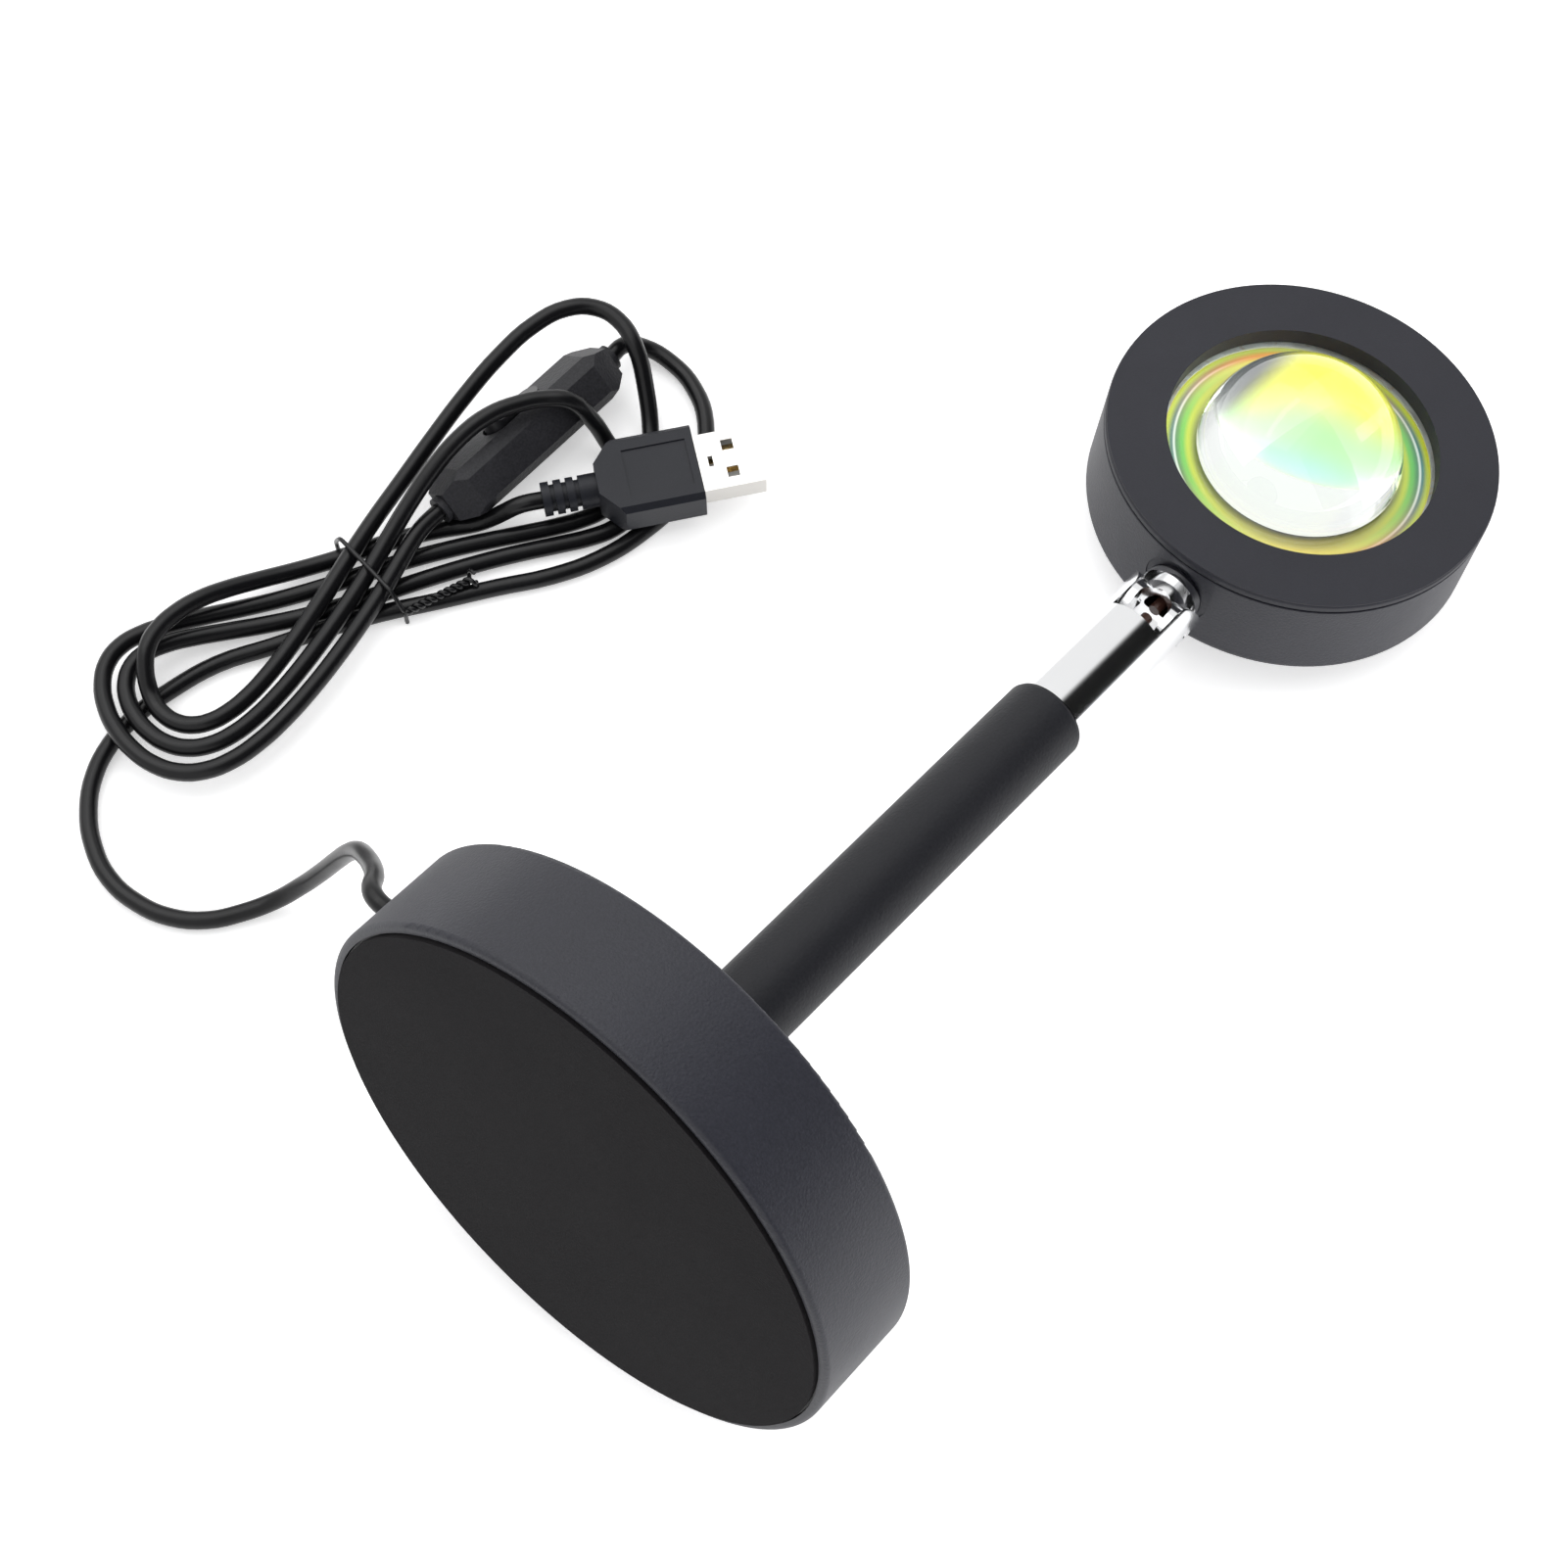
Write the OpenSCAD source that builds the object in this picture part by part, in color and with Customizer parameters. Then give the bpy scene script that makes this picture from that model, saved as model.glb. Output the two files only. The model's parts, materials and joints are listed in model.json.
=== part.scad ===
// Sunset projection lamp on a weighted round base, lying on its side as it is laid out for show.
// A round stem ends in a chrome fork, and the disc-shaped head tilts in it on two stub pins.
// A thin USB cord with an in-line rocker switch lies beside it, folded into a tied hank.
// The ground is z = 0, X runs from the base to the head and Y is across.

/* [Base] */
// Diameter of the weighted base
base_d = 100; // [88:1:130]
// Height of the base
base_h = 20; // [18:0.5:30]
// Wall of the base shell
base_wall = 1.5; // [1:0.1:2.5]
// Rounding of the base's edges
base_edge_r = 1; // [0.4:0.1:1.4]
// Thickness of the foam pad
pad_t = 1.2; // [1:0.1:2]
// How far the pad stands proud of the shell
pad_proud = 0.6; // [0.3:0.1:0.8]
// Thickness of the bottom plate
plate_t = 1; // [0.8:0.1:2]
// Gap round the pad
pad_gap = 0.4; // [0.2:0.1:1]
// Gap round the bottom plate
plate_gap = 0.1; // [0.05:0.05:0.3]
// Diameter of the iron ballast disc
ballast_d = 84; // [60:1:84]
// Thickness of the ballast disc
ballast_t = 7.5; // [4:0.5:8]
// Width of the cord slot in the ballast
ballast_slot_w = 9; // [6:0.5:14]

/* [Stem] */
// Outside diameter of the black sleeve
sleeve_d = 15; // [14:0.1:16]
// Wall of the black sleeve
sleeve_wall = 1.2; // [0.8:0.1:1.4]
// Length of the black sleeve above the base
sleeve_len = 100.5; // [70:0.5:160]
// Rounding of the sleeve's free end
sleeve_edge_r = 0.8; // [0.2:0.1:0.9]
// Outside diameter of the chrome fork tube
fork_d = 14.4; // [13.6:0.1:14.6]
// Wall of the chrome fork tube
fork_wall = 1.2; // [0.8:0.1:1.4]
// Chrome tube between the sleeve and the tilt pivot
fork_len = 30.5; // [24:0.5:60]
// How far the fork tube plugs into the sleeve
spigot_len = 14; // [8:0.5:20]
// Diameter of the hollow threaded rod in the stem's foot
rod_d = 10; // [8:0.5:10]
// Bore of the threaded rod
rod_bore_d = 7; // [4:0.5:7]
// Length of the foot plug in the sleeve
foot_len = 16; // [10:0.5:24]
// Thickness of the stem washer
washer_t = 1.2; // [0.8:0.1:2]
// Diameter of the stem washer
washer_d = 20; // [18:0.5:26]
// Thickness of the stem nut
stem_nut_t = 3.5; // [3:0.1:4]
// Width across the stem nut's flats
stem_nut_af = 17; // [14:0.5:18]

/* [Tilt joint] */
// Width of the slot between the fork's ears
slot_w = 9.6; // [9:0.1:10]
// Depth of the slot below the pivot
slot_depth = 6.4; // [5.8:0.1:8]
// Rounding radius of the ears about the pivot
ear_r = 5.3; // [5:0.1:5.4]
// Diameter of the stub pins
pin_d = 3; // [2:0.1:3.4]
// Radial running clearance of the knuckle on the pins
pin_fit = 0.05; // [0.02:0.01:0.1]
// Clearance between the knuckle and each side of the slot
knuckle_gap = 0.2; // [0.1:0.05:0.4]
// Diameter of the knuckle barrel
knuckle_d = 9.6; // [8:0.1:10]
// Width of the wire passage through the knuckle
passage_w = 6.4; // [4:0.1:6.8]
// Diameter of the pin bosses on the knuckle
boss_d = 4.8; // [4.4:0.1:5]
// Clearance between a boss and the ear's inside
boss_gap = 0.2; // [0.1:0.05:0.3]
// Diameter of the neck tube
neck_d = 9; // [7:0.1:9]
// Bore of the neck tube
neck_bore_d = 5; // [3:0.1:5.6]
// Diameter of the neck's collar
collar_d = 11.5; // [10:0.1:12]
// Distance from the pivot to the collar
collar_at = 5.9; // [5.8:0.1:6.2]
// Diameter of the neck's threaded end
neck_thread_d = 8; // [7:0.1:8]
// Thickness of the neck nut
neck_nut_t = 2.8; // [2:0.1:3]
// Width across the neck nut's flats
neck_nut_af = 12; // [11:0.5:12.5]

/* [Head] */
// Diameter of the head
head_d = 72; // [66:1:90]
// Height of the head
head_h = 19.6; // [19:0.1:26]
// Wall of the head housing
head_wall = 1.6; // [1:0.1:2]
// Rounding of the head's edges
head_edge_r = 0.8; // [0.4:0.1:1.4]
// Gap between the fork tube's pivot and the head's rim
head_gap = 7.8; // [7.6:0.1:9]
// Height of the lid's side band
lid_band_h = 1.7; // [1.2:0.1:2.4]
// Height of the dark seam below the lid
seam_h = 0.4; // [0.2:0.1:0.8]
// Diameter of the lens opening
opening_d = 50; // [40:0.5:50]
// Depth of the opening's wall
opening_wall_h = 3.4; // [2.6:0.1:3.6]
// Wall round the lens opening
opening_rim = 2.4; // [1.5:0.1:3]
// Diameter of the spot face that the collar seats in
spot_d = 13.4; // [12.5:0.1:15]
// Depth of the spot face
spot_depth = 0.8; // [0.4:0.1:1.2]
// Distance from the rim to the flat pad inside that the neck nut bears on
nut_land = 4.4; // [3.6:0.1:5]
// Thickness of the aluminium heat sink
sink_t = 3; // [2:0.1:3.2]
// Clearance between the neck nut and the heat sink
sink_gap = 1.8; // [1:0.1:4]

/* [Optics] */
// Width of the lens flange beyond the opening
flange_w = 1.4; // [1:0.1:2]
// Thickness of the lens flange
flange_t = 1.5; // [1:0.1:1.8]
// Clearance round the lens
lens_fit = 0.2; // [0.1:0.05:0.4]
// Depth of the dome's foot below the front face
lens_set = 2.2; // [1.6:0.1:2.4]
// Width of the flat ring of glass between the dome and the opening
dome_margin = 6.2; // [2:0.1:8]
// Rise of the dome as a share of its radius
dome_share = 0.85; // [0.3:0.05:1]
// Thickness of the silicone gasket
gasket_t = 0.4; // [0.3:0.1:0.6]
// Thickness of the dichroic filter
filter_t = 1.1; // [0.8:0.1:1.2]
// Thickness of the reflector's wall
reflector_wall = 0.9; // [0.6:0.1:1.2]
// Diameter of the reflector's mouth over the light source
reflector_mouth_d = 11; // [10:0.5:14]
// Diameter of the light source's board
board_d = 34; // [30:1:38]
// Thickness of the light source's board
board_t = 1.6; // [1:0.1:1.6]
// Side of the light source
chip_w = 7; // [3:0.5:7]
// Thickness of the light source
chip_t = 1.2; // [0.6:0.1:1.6]
// Diameter of the small screws
screw_d = 2; // [1.6:0.1:2.2]
// Number of screws in each ring
screw_n = 3; // [3:1:4]

/* [Resting pose] */
// Angle by which the head dips below level as it rests
head_dip = 8.75; // [0:0.25:9.5]

/* [Cord] */
// Diameter of the cord
cord_d = 3.3; // [3:0.1:3.4]
// Diameter of the lead inside the stem
lead_d = 2.2; // [1.6:0.1:2.6]
// Height of the cord's hole above the base's underside
cord_hole_h = 14.5; // [10:0.5:14.5]
// Flange of the cord grommet
grommet_d = 7.6; // [7:0.1:9]
// Thickness of the grommet's flanges
grommet_t = 1.2; // [0.8:0.1:2]
// Neck of the grommet
grommet_neck_d = 5.6; // [5:0.1:6]
// Turn of the cord's hole round the stem, up from level
cord_turn = 2; // [0:1:12]

/* [Hank] */
// Number of rings along each lobe of the hank
lobe_rings = 22; // [18:2:24]
// Spacing of the strands side by side under the tie
strand_pitch = 3.9; // [3.8:0.05:4.2]
// Gap between crossing layers
layer_gap = 0.6; // [0.5:0.05:0.8]
// Bearing of the hank's long axis
hank_bearing = -7; // [-9:0.5:-5]
// Half of the angle at which the strands cross under the tie
cross_half = 21; // [19:0.5:23]

/* [Switch] */
// Length of the switch body
switch_len = 43; // [38:0.5:46]
// Width of the switch across the rocker's face
switch_w = 12; // [11:0.5:13]
// Depth of the switch behind the rocker's face
switch_h = 10; // [9:0.5:11]
// Bevel of the switch's long edges
switch_bevel = 2; // [1:0.1:2.6]
// Length of the tapered ends of the switch
switch_taper = 5; // [3:0.5:7]
// Roll of the switch about its cord
switch_roll = 45; // [40:1:50]
// Length of the rocker
rocker_len = 13; // [10:0.5:14]
// Width of the rocker
rocker_w = 6.6; // [5:0.1:7]
// Clearance round the rocker
rocker_gap = 0.35; // [0.3:0.05:0.6]
// Angle between the rocker's two positions
rocker_throw = 12; // [8:1:14]
// Wall of the switch halves
switch_wall = 1.4; // [1:0.1:1.6]

/* [Plug] */
// Length of the plug's grip
grip_len = 15; // [12:0.5:20]
// Width of the plug's grip
grip_w = 16; // [15:0.1:17]
// Thickness of the plug's grip
grip_h = 8; // [7.5:0.1:8.4]
// Length of the grip's taper
grip_taper = 4; // [3:0.5:6]
// Length of the strain relief
relief_len = 10.3; // [8:0.1:12]
// Diameter of the strain relief
relief_d = 6.4; // [6:0.1:7]
// Depth of the bare panel in the grip
panel_depth = 0.3; // [0.2:0.05:0.5]
// Width of the metal shell
shell_w = 12; // [12:0.1:12.1]
// Height of the metal shell
shell_h = 4.5; // [4.5:0.1:4.6]
// Thickness of the metal shell
shell_t = 0.3; // [0.3:0.05:0.4]
// Exposed length of the metal shell
shell_len = 11.7; // [11.5:0.1:12]
// Thickness of the plug's tongue
tongue_t = 1.84; // [1.8:0.02:1.9]

/* [Hidden] */
$fn = 96;
eps = 0.01;

// Stem, measured along its axis from the base's underside
sleeve_top = base_h + sleeve_len;
pivot_at = sleeve_top + fork_len;
fork_bore_d = fork_d - 2 * fork_wall;
spigot_d = sleeve_d - 2 * sleeve_wall;
plate_low = pad_t - pad_proud;
plate_top = plate_low + plate_t;
rod_end = 0.7;
lead_gap = 0.3;
splice_d = 4.6;
run_room = 2 * lead_gap + (splice_d + lead_d) / 2;
ballast_top = base_h - base_wall;
ballast_low = max(ballast_top - ballast_t, plate_top + run_room + rod_end + stem_nut_t + washer_t);
washer_low = ballast_low - washer_t;
nut_low = washer_low - stem_nut_t;
rod_low = nut_low - rod_end;
foot_top = base_h + foot_len;
spigot_bore_d = spigot_d - 2 * fork_wall;
spigot_floor = 1;

// Base
shell_bore_r = base_d / 2 - base_wall;
slot_in = 14;
lead_end = 0.4;
lead_run_h = rod_low - lead_gap - lead_d / 2;
bend_len = 3;
splice_in = 18;
splice_mid = 25;
splice_out = 32;
cord_drop_in = 38;
cord_drop_out = 43;

// Head, measured from the pivot along the arm, with Z towards the lens
arm = head_gap + head_d / 2;
face_top = head_h / 2;
lid_low = face_top - lid_band_h;
housing_top = lid_low - seam_h;
floor_top = -face_top + head_wall;
collar_end = head_gap + spot_depth;
land_x = head_gap + nut_land;
thread_proud = 0.8;
neck_end = land_x + neck_nut_t + thread_proud;
skirt_h = 2.8;
skirt_t = 1.2;
skirt_gap = 0.25;
skirt_r = head_d / 2 - head_wall - skirt_gap;
land_gap = 0.4;
land_top = housing_top - skirt_h - land_gap;
flange_top = face_top - opening_wall_h;
flange_low = flange_top - flange_t;
flange_r = opening_d / 2 + flange_w;
dome_low = face_top - lens_set;
dome_foot_r = opening_d / 2 - dome_margin;
dome_h = dome_share * dome_foot_r;
dome_r = (dome_foot_r * dome_foot_r + dome_h * dome_h) / (2 * dome_h);
gasket_low = flange_low - gasket_t;
gasket_w = 1.8;
filter_low = gasket_low - filter_t;
sink_top = floor_top + sink_t;
sink_r = head_d / 2 - nut_land - neck_nut_t - sink_gap;
board_top = sink_top + board_t;
reflector_low = board_top + 0.2;
reflector_flange_t = 1.2;
reflector_flange_low = filter_low - reflector_flange_t;
reflector_top_r = opening_d / 2 - 1;
lid_screw_r = flange_r + 3;
lid_boss_d = 4.6;
board_screw_r = board_d / 2 - 3.5;
screw_head_d = 2 * screw_d;
screw_head_t = 1.2;
screw_bite = 0.8;
seam_edge_r = 0.2;
screw_end = 1;

// Resting pose: the base stands on its upper rim and the head on the far edge of its back
head_z = (head_h / 2 - head_edge_r) * cos(head_dip) + (head_d / 2 - head_edge_r) * sin(head_dip)
    + head_edge_r;
pivot_z = head_z + arm * sin(head_dip);
rim_in = base_d / 2 - base_edge_r;
rim_along = pivot_at - base_h + base_edge_r;
lean = acos((pivot_z - base_edge_r) / norm([rim_in, rim_along])) - atan2(rim_along, rim_in);
foot_z = (base_h - base_edge_r) * sin(lean) + rim_in * cos(lean) + base_edge_r;
pivot_x = pivot_at * cos(lean);
head_x = pivot_x + arm * cos(head_dip);
box_low = min(base_edge_r * cos(lean) - rim_in * sin(lean) - base_edge_r,
    -pad_proud * cos(lean) - (shell_bore_r - pad_gap) * sin(lean));
box_high = head_x + (head_d / 2 - head_edge_r) * cos(head_dip)
    + (head_h / 2 - head_edge_r) * sin(head_dip) + head_edge_r;
box_mid = (box_low + box_high) / 2;

// Cord's exit from the grommet
exit_r = base_d / 2 + grommet_t;
exit_way = [sin(cord_turn) * sin(lean), cos(cord_turn), sin(cord_turn) * cos(lean)];
exit_pos = [cord_hole_h * cos(lean) - box_mid, 0, foot_z - cord_hole_h * sin(lean)] + exit_r * exit_way;

// Switch and plug on the ground
switch_pos = [0.6, 115.2];
switch_bearing = -2;
floor_gap = 0.05;
switch_axis_z = switch_w / 2 * sin(switch_roll) + (switch_h / 2 - switch_bevel) * cos(switch_roll)
    + floor_gap;
switch_nose = 1.2;
end_in_w = 3;
end_in_h = 2;
plug_pos = [15, 85];
plug_bearing = -36.7;
plug_z = 8;
shell_in = 6;

// Route of the cord from the grommet to the tie and on to the switch's far end
lead_route = [[-93.3, 56.6, 50.8], [-90.7, 59.2, 47.3], [-88.6, 62.6, 42.5], [-87, 66.6, 37.5],
    [-86.1, 70.1, 32.5], [-86.3, 73.2, 27], [-87.4, 76, 21], [-89.4, 79.3, 13.8], [-92.4, 82.8, 7.2],
    [-96.5, 86, 3], [-101.4, 89.1, 1.8], [-106.4, 92.8, 1.7], [-110.2, 98, 1.7], [-112.2, 104.5, 1.7],
    [-112.2, 111.5, 1.7], [-109.8, 118, 1.7], [-105.5, 123.8, 1.7], [-100, 128, 1.7], [-94, 130.2, 1.7],
    [-87, 130.8, 1.7], [-79, 129.6, 1.7], [-70, 127, 1.7], [-61, 122, 1.7], [-52.4, 117.3, 1.7],
    [-43.2, 111.7, 1.7], [-34.2, 105.3, 1.7], [-25.2, 99.1, 1.7], [-16.9, 93.1, 1.7], [-8.4, 88.8, 1.7],
    [1, 86.5, 1.7], [10, 86.1, 1.7], [19, 88.2, 1.7], [26.2, 93.2, 1.7], [30.4, 99.8, 1.7],
    [31.8, 106.8, 1.8], [30.4, 112.5, 3.2]];

// Hank: strands under the tie, counted from the upper side, and the lobes that they make
tie_pos = [-39.9, 115];
run_out = hank_bearing - cross_half;
run_back = hank_bearing + cross_half;
ground_z = cord_d / 2 + floor_gap;
layer_h = cord_d + layer_gap;
out_place = [2.36, 1.13, -0.16];
back_place = [1.82, 0.61, -0.47];

// One lobe is [side, reach, fullness, lift, place it leaves by, place it comes back by,
// rise over what it crosses, share of its way where that rise is full, skew]
lobes = [
    [-1, 54.5, 0.58, 6.9, back_place[2], out_place[1], 0, 0.5, -2.5],
    [1, 50.4, 0.16, -12.1, out_place[1], back_place[1], 12, 0.68, -3.7],
    [-1, 48.8, 0.57, 6.9, back_place[1], out_place[2], 0, 0.5, -1.8],
    [1, 64.5, 0.61, -5.6, out_place[2], back_place[0], 10, 0.6, -13.6],
    [-1, 45.6, 0.17, -0.2, back_place[0], out_place[0], 4.5, 0.67, -0.4]];
// Shares of a lobe's way over which it climbs to the second layer, on the right and on the left
climb_right = [0.5, 0.9];
climb_left = [0.64, 0.94];
// Shares before and after its full height over which a rise comes and goes
rise_in = [0.16, 0.03];
rise_out = [0.08, 0.32];
// Pull of the curves that join the hank to the switch and to the plug
run_in_pull = [10, 12];
tail_pull = [54, 15];
tail_climb = 0.45;

// Smooth step from 0 to 1 between a and b
function ease(x, a, b) = let (t = min(1, max(0, (x - a) / (b - a)))) t * t * (3 - 2 * t);
// Smooth rise of height 1 at c, with a short way up and a long way down
function hump(x, c) = ease(x, c - rise_in[0], c - rise_in[1])
    * (1 - ease(x, c + rise_out[0], c + rise_out[1]));
function bearing(a) = [cos(a), sin(a)];
// Cubic run from p to q that leaves along u and arrives along v
function cubic(p, u, q, v, t) = (2 * t * t * t - 3 * t * t + 1) * p + (t * t * t - 2 * t * t + t) * u
    + (3 * t * t - 2 * t * t * t) * q + (t * t * t - t * t) * v;

// A point of one lobe at the share s of its way
function lobe_point(lobe, s) =
    let (side = lobe[0], reach = lobe[1], swell = sin(180 * s) * sin(180 * s),
        along = side * reach * sin(180 * s) + lobe[8] * sin(360 * s) * swell,
        across = -reach * tan(cross_half) / 2 * sin(360 * s) * (1 + lobe[2] * swell) + lobe[3] * swell,
        leave = side > 0 ? run_out : run_back, come = side > 0 ? run_back : run_out,
        shift = strand_pitch * (lobe[4] * pow(cos(90 * s), 2) * bearing(leave + 90)
            + lobe[5] * pow(sin(90 * s), 2) * bearing(come + 90)),
        flat = tie_pos + along * bearing(hank_bearing) + across * bearing(hank_bearing + 90) + shift,
        climb = side > 0 ? ease(s, climb_right[0], climb_right[1])
            : 1 - ease(s, climb_left[0], climb_left[1]))
    [flat[0], flat[1], ground_z + layer_h * climb + lobe[6] * hump(s, lobe[7])];

// Rocker, measured from the switch's middle
rocker_deep = 3;
rocker_axis_z = switch_h / 2 - switch_wall - 0.6;
rocker_rise = switch_wall + 0.6;
rocker_top = 1.4;
rocker_crest = 0.3;
rocker_foot = 2;
well_depth = switch_wall + 1.2;
axle_d = 1.6;
axle_fit = 0.05;
axle_len = rocker_w + 1.8;
bearing_len = axle_len + 0.4;
bearing_wall = 1;
lug_l = axle_d + 2 * bearing_wall;
lug_low = rocker_axis_z - axle_d / 2 - bearing_wall;

// Where the tail meets the plug and the switch
switch_end = switch_len / 2 + switch_nose;
switch_left = concat(switch_pos - switch_end * bearing(switch_bearing), [switch_axis_z]);
switch_right = concat(switch_pos + switch_end * bearing(switch_bearing), [switch_axis_z]);
plug_back = grip_len + grip_taper + relief_len;
plug_in = concat(plug_pos - plug_back * bearing(plug_bearing), [plug_z]);
along3 = function (a, n) concat(n * bearing(a), [0]);
first_under = lobe_point(lobes[0], 0);
last_under = lobe_point(lobes[len(lobes) - 1], 1);
run_in_n = 5;
run_out_n = 8;
// The tail stays on the ground below the strands that it crosses, then climbs to the plug
function tail_point(t) =
    let (flat = cubic(last_under, along3(run_out, tail_pull[0]), plug_in - along3(plug_bearing, cord_d),
        along3(plug_bearing, tail_pull[1]), t))
    [flat[0], flat[1], ground_z + (plug_z - ground_z) * ease(t, tail_climb, 1)];
run_in = switch_left - along3(switch_bearing, cord_d);
hank_route = concat(
    [switch_left, run_in],
    [for (i = [1 : run_in_n - 1]) cubic(run_in, along3(switch_bearing, -run_in_pull[0]),
        first_under, along3(run_back, -run_in_pull[1]), i / run_in_n)],
    [for (lobe = lobes, i = [0 : lobe_rings - 1]) lobe_point(lobe, i / lobe_rings)],
    [last_under],
    [for (i = [1 : run_out_n]) tail_point(i / (run_out_n + 1))],
    [plug_in - along3(plug_bearing, cord_d), plug_in]);
lead_points = concat([exit_pos, exit_pos + cord_d * exit_way], lead_route,
    [switch_right + along3(switch_bearing, cord_d), switch_right]);

// Direction of a route at its point i
function heading(pts, i) = let (d = pts[min(i + 1, len(pts) - 1)] - pts[max(i - 1, 0)]) d / norm(d);
// Ring of points round a route's point, carried along without twist
function ring(pts, i, side, d, sides) =
    let (t = heading(pts, i), u = side / norm(side), v = cross(t, u))
    [for (k = [0 : sides - 1]) pts[i] + d / 2 * (cos(360 * k / sides) * u + sin(360 * k / sides) * v)];
function carried(pts, i, side) = let (t = heading(pts, i)) side - (side * t) * t;
// Sideways vectors along a route, each carried on from the last
function sides_along(pts, i = 0, side = [0, 0, 1]) =
    let (s = carried(pts, i, side), u = s / norm(s))
    i == len(pts) - 1 ? [u] : concat([u], sides_along(pts, i + 1, u));

function unit(v) = v / norm(v);
// Straight runs with each corner rounded over the length r
function bent(pts, r) = [for (i = [0 : len(pts) - 1]) each i == 0 || i == len(pts) - 1 ? [pts[i]] :
    let (a = pts[i] - r * unit(pts[i] - pts[i - 1]), b = pts[i] + r * unit(pts[i + 1] - pts[i]))
    [for (t = [0 : 0.25 : 1]) (1 - t) * (1 - t) * a + 2 * t * (1 - t) * pts[i] + t * t * b]];

// Least distance from a route to itself, leaving out the stretch next to each point
function self_gap(pts, d, skip) = min([for (i = [0 : len(pts) - 1], j = [i + skip : 1 : len(pts) - 1])
    norm(pts[i] - pts[j])]) - d;

// A round tube of one unbroken skin along a route
module tube_along(pts, d, sides, side = [0, 0, 1]) {
    dirs = sides_along(pts, 0, side);
    rings = [for (i = [0 : len(pts) - 1]) each ring(pts, i, dirs[i], d, sides)];
    last = (len(pts) - 1) * sides;
    skin = [for (i = [0 : len(pts) - 2], k = [0 : sides - 1])
        let (a = i * sides + k, b = i * sides + (k + 1) % sides)
        each [[a, a + sides, b], [b, a + sides, b + sides]]];
    ends = [for (k = [1 : sides - 2]) each [[0, k, k + 1], [last, last + k + 1, last + k]]];
    polyhedron(points = rings, faces = concat(skin, ends), convexity = 10);
}

// Places its children on the stem's axis, with Z from the base's underside to the head
module on_stem() {
    translate([-box_mid, 0, foot_z]) rotate([0, 90 + lean, 0]) children();
}

// Places its children at the pivot, with X along the head's arm and Z towards the lens
module on_arm() {
    translate([pivot_x - box_mid, 0, pivot_z]) rotate([0, head_dip, 0]) children();
}

// Places its children at the middle of the head
module in_head() {
    on_arm() translate([arm, 0, 0]) children();
}

// Places its children on the switch, with X along its cord and Z out of the rocker's face
module on_switch() {
    translate([switch_pos[0], switch_pos[1], switch_axis_z]) rotate([0, 0, switch_bearing])
        rotate([-switch_roll, 0, 0]) children();
}

// Places its children at the grip's front face, with X towards the plug's mouth
module on_plug() {
    translate([plug_pos[0], plug_pos[1], plug_z]) rotate([0, 0, plug_bearing]) children();
}

// A ring of equal copies round Z
module around(n, r) {
    for (i = [0 : n - 1]) rotate([0, 0, 360 * i / n]) translate([r, 0, 0]) children();
}

// A turned disc between two heights with rounded outer edges
module rounded_disc(r, low, high, r_low, r_high) {
    rotate_extrude() union() {
        translate([0, low]) square([r - r_low, high - low]);
        translate([0, low + r_low]) square([r, high - low - r_low - r_high]);
        translate([0, low]) square([r - r_high, high - low]);
        translate([r - r_low, low + r_low]) circle(r_low);
        translate([r - r_high, high - r_high]) circle(r_high);
    }
}

// A flat ring
module washer(r_out, r_in, low, high) {
    translate([0, 0, low]) difference() {
        cylinder(r = r_out, h = high - low);
        translate([0, 0, -eps]) cylinder(r = r_in, h = high - low + 2 * eps);
    }
}

// A hexagon nut with a plain bore
module hex_nut(af, bore_d, low, t) {
    translate([0, 0, low]) difference() {
        cylinder(d = af / cos(30), h = t, $fn = 6);
        translate([0, 0, -eps]) cylinder(d = bore_d, h = t + 2 * eps);
    }
}

// A pan-head screw pointing along -Z with its head's underside at z = 0
module pan_screw(shank) {
    translate([0, 0, -shank]) cylinder(d = screw_d, h = shank);
    cylinder(d = screw_head_d, h = screw_head_t);
}

module base_shell() {
    color([0.2, 0.21, 0.24]) on_stem() difference() {
        rounded_disc(base_d / 2, 0, base_h, base_edge_r, base_edge_r);
        translate([0, 0, -eps]) cylinder(r = shell_bore_r, h = ballast_top + eps);
        cylinder(d = rod_d, h = base_h + eps);
        translate([0, 0, cord_hole_h]) rotate([-90, 0, cord_turn])
            cylinder(d = grommet_neck_d, h = base_d);
    }
}

module base_pad() {
    color([0.1, 0.1, 0.11]) on_stem() translate([0, 0, -pad_proud])
        cylinder(r = shell_bore_r - pad_gap, h = pad_t);
}

module base_plate() {
    color([0.5, 0.5, 0.52]) on_stem() translate([0, 0, plate_low])
        cylinder(r = shell_bore_r - plate_gap, h = plate_t);
}

module base_ballast() {
    color([0.3, 0.3, 0.31]) on_stem() difference() {
        translate([0, 0, ballast_low]) cylinder(d = ballast_d, h = ballast_top - ballast_low);
        translate([0, 0, ballast_low - eps]) cylinder(d = rod_d, h = base_h);
        rotate([0, 0, cord_turn])
            translate([-ballast_slot_w / 2, ballast_d / 2 - slot_in, ballast_low - eps])
                cube([ballast_slot_w, slot_in + eps, base_h]);
    }
}

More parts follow.
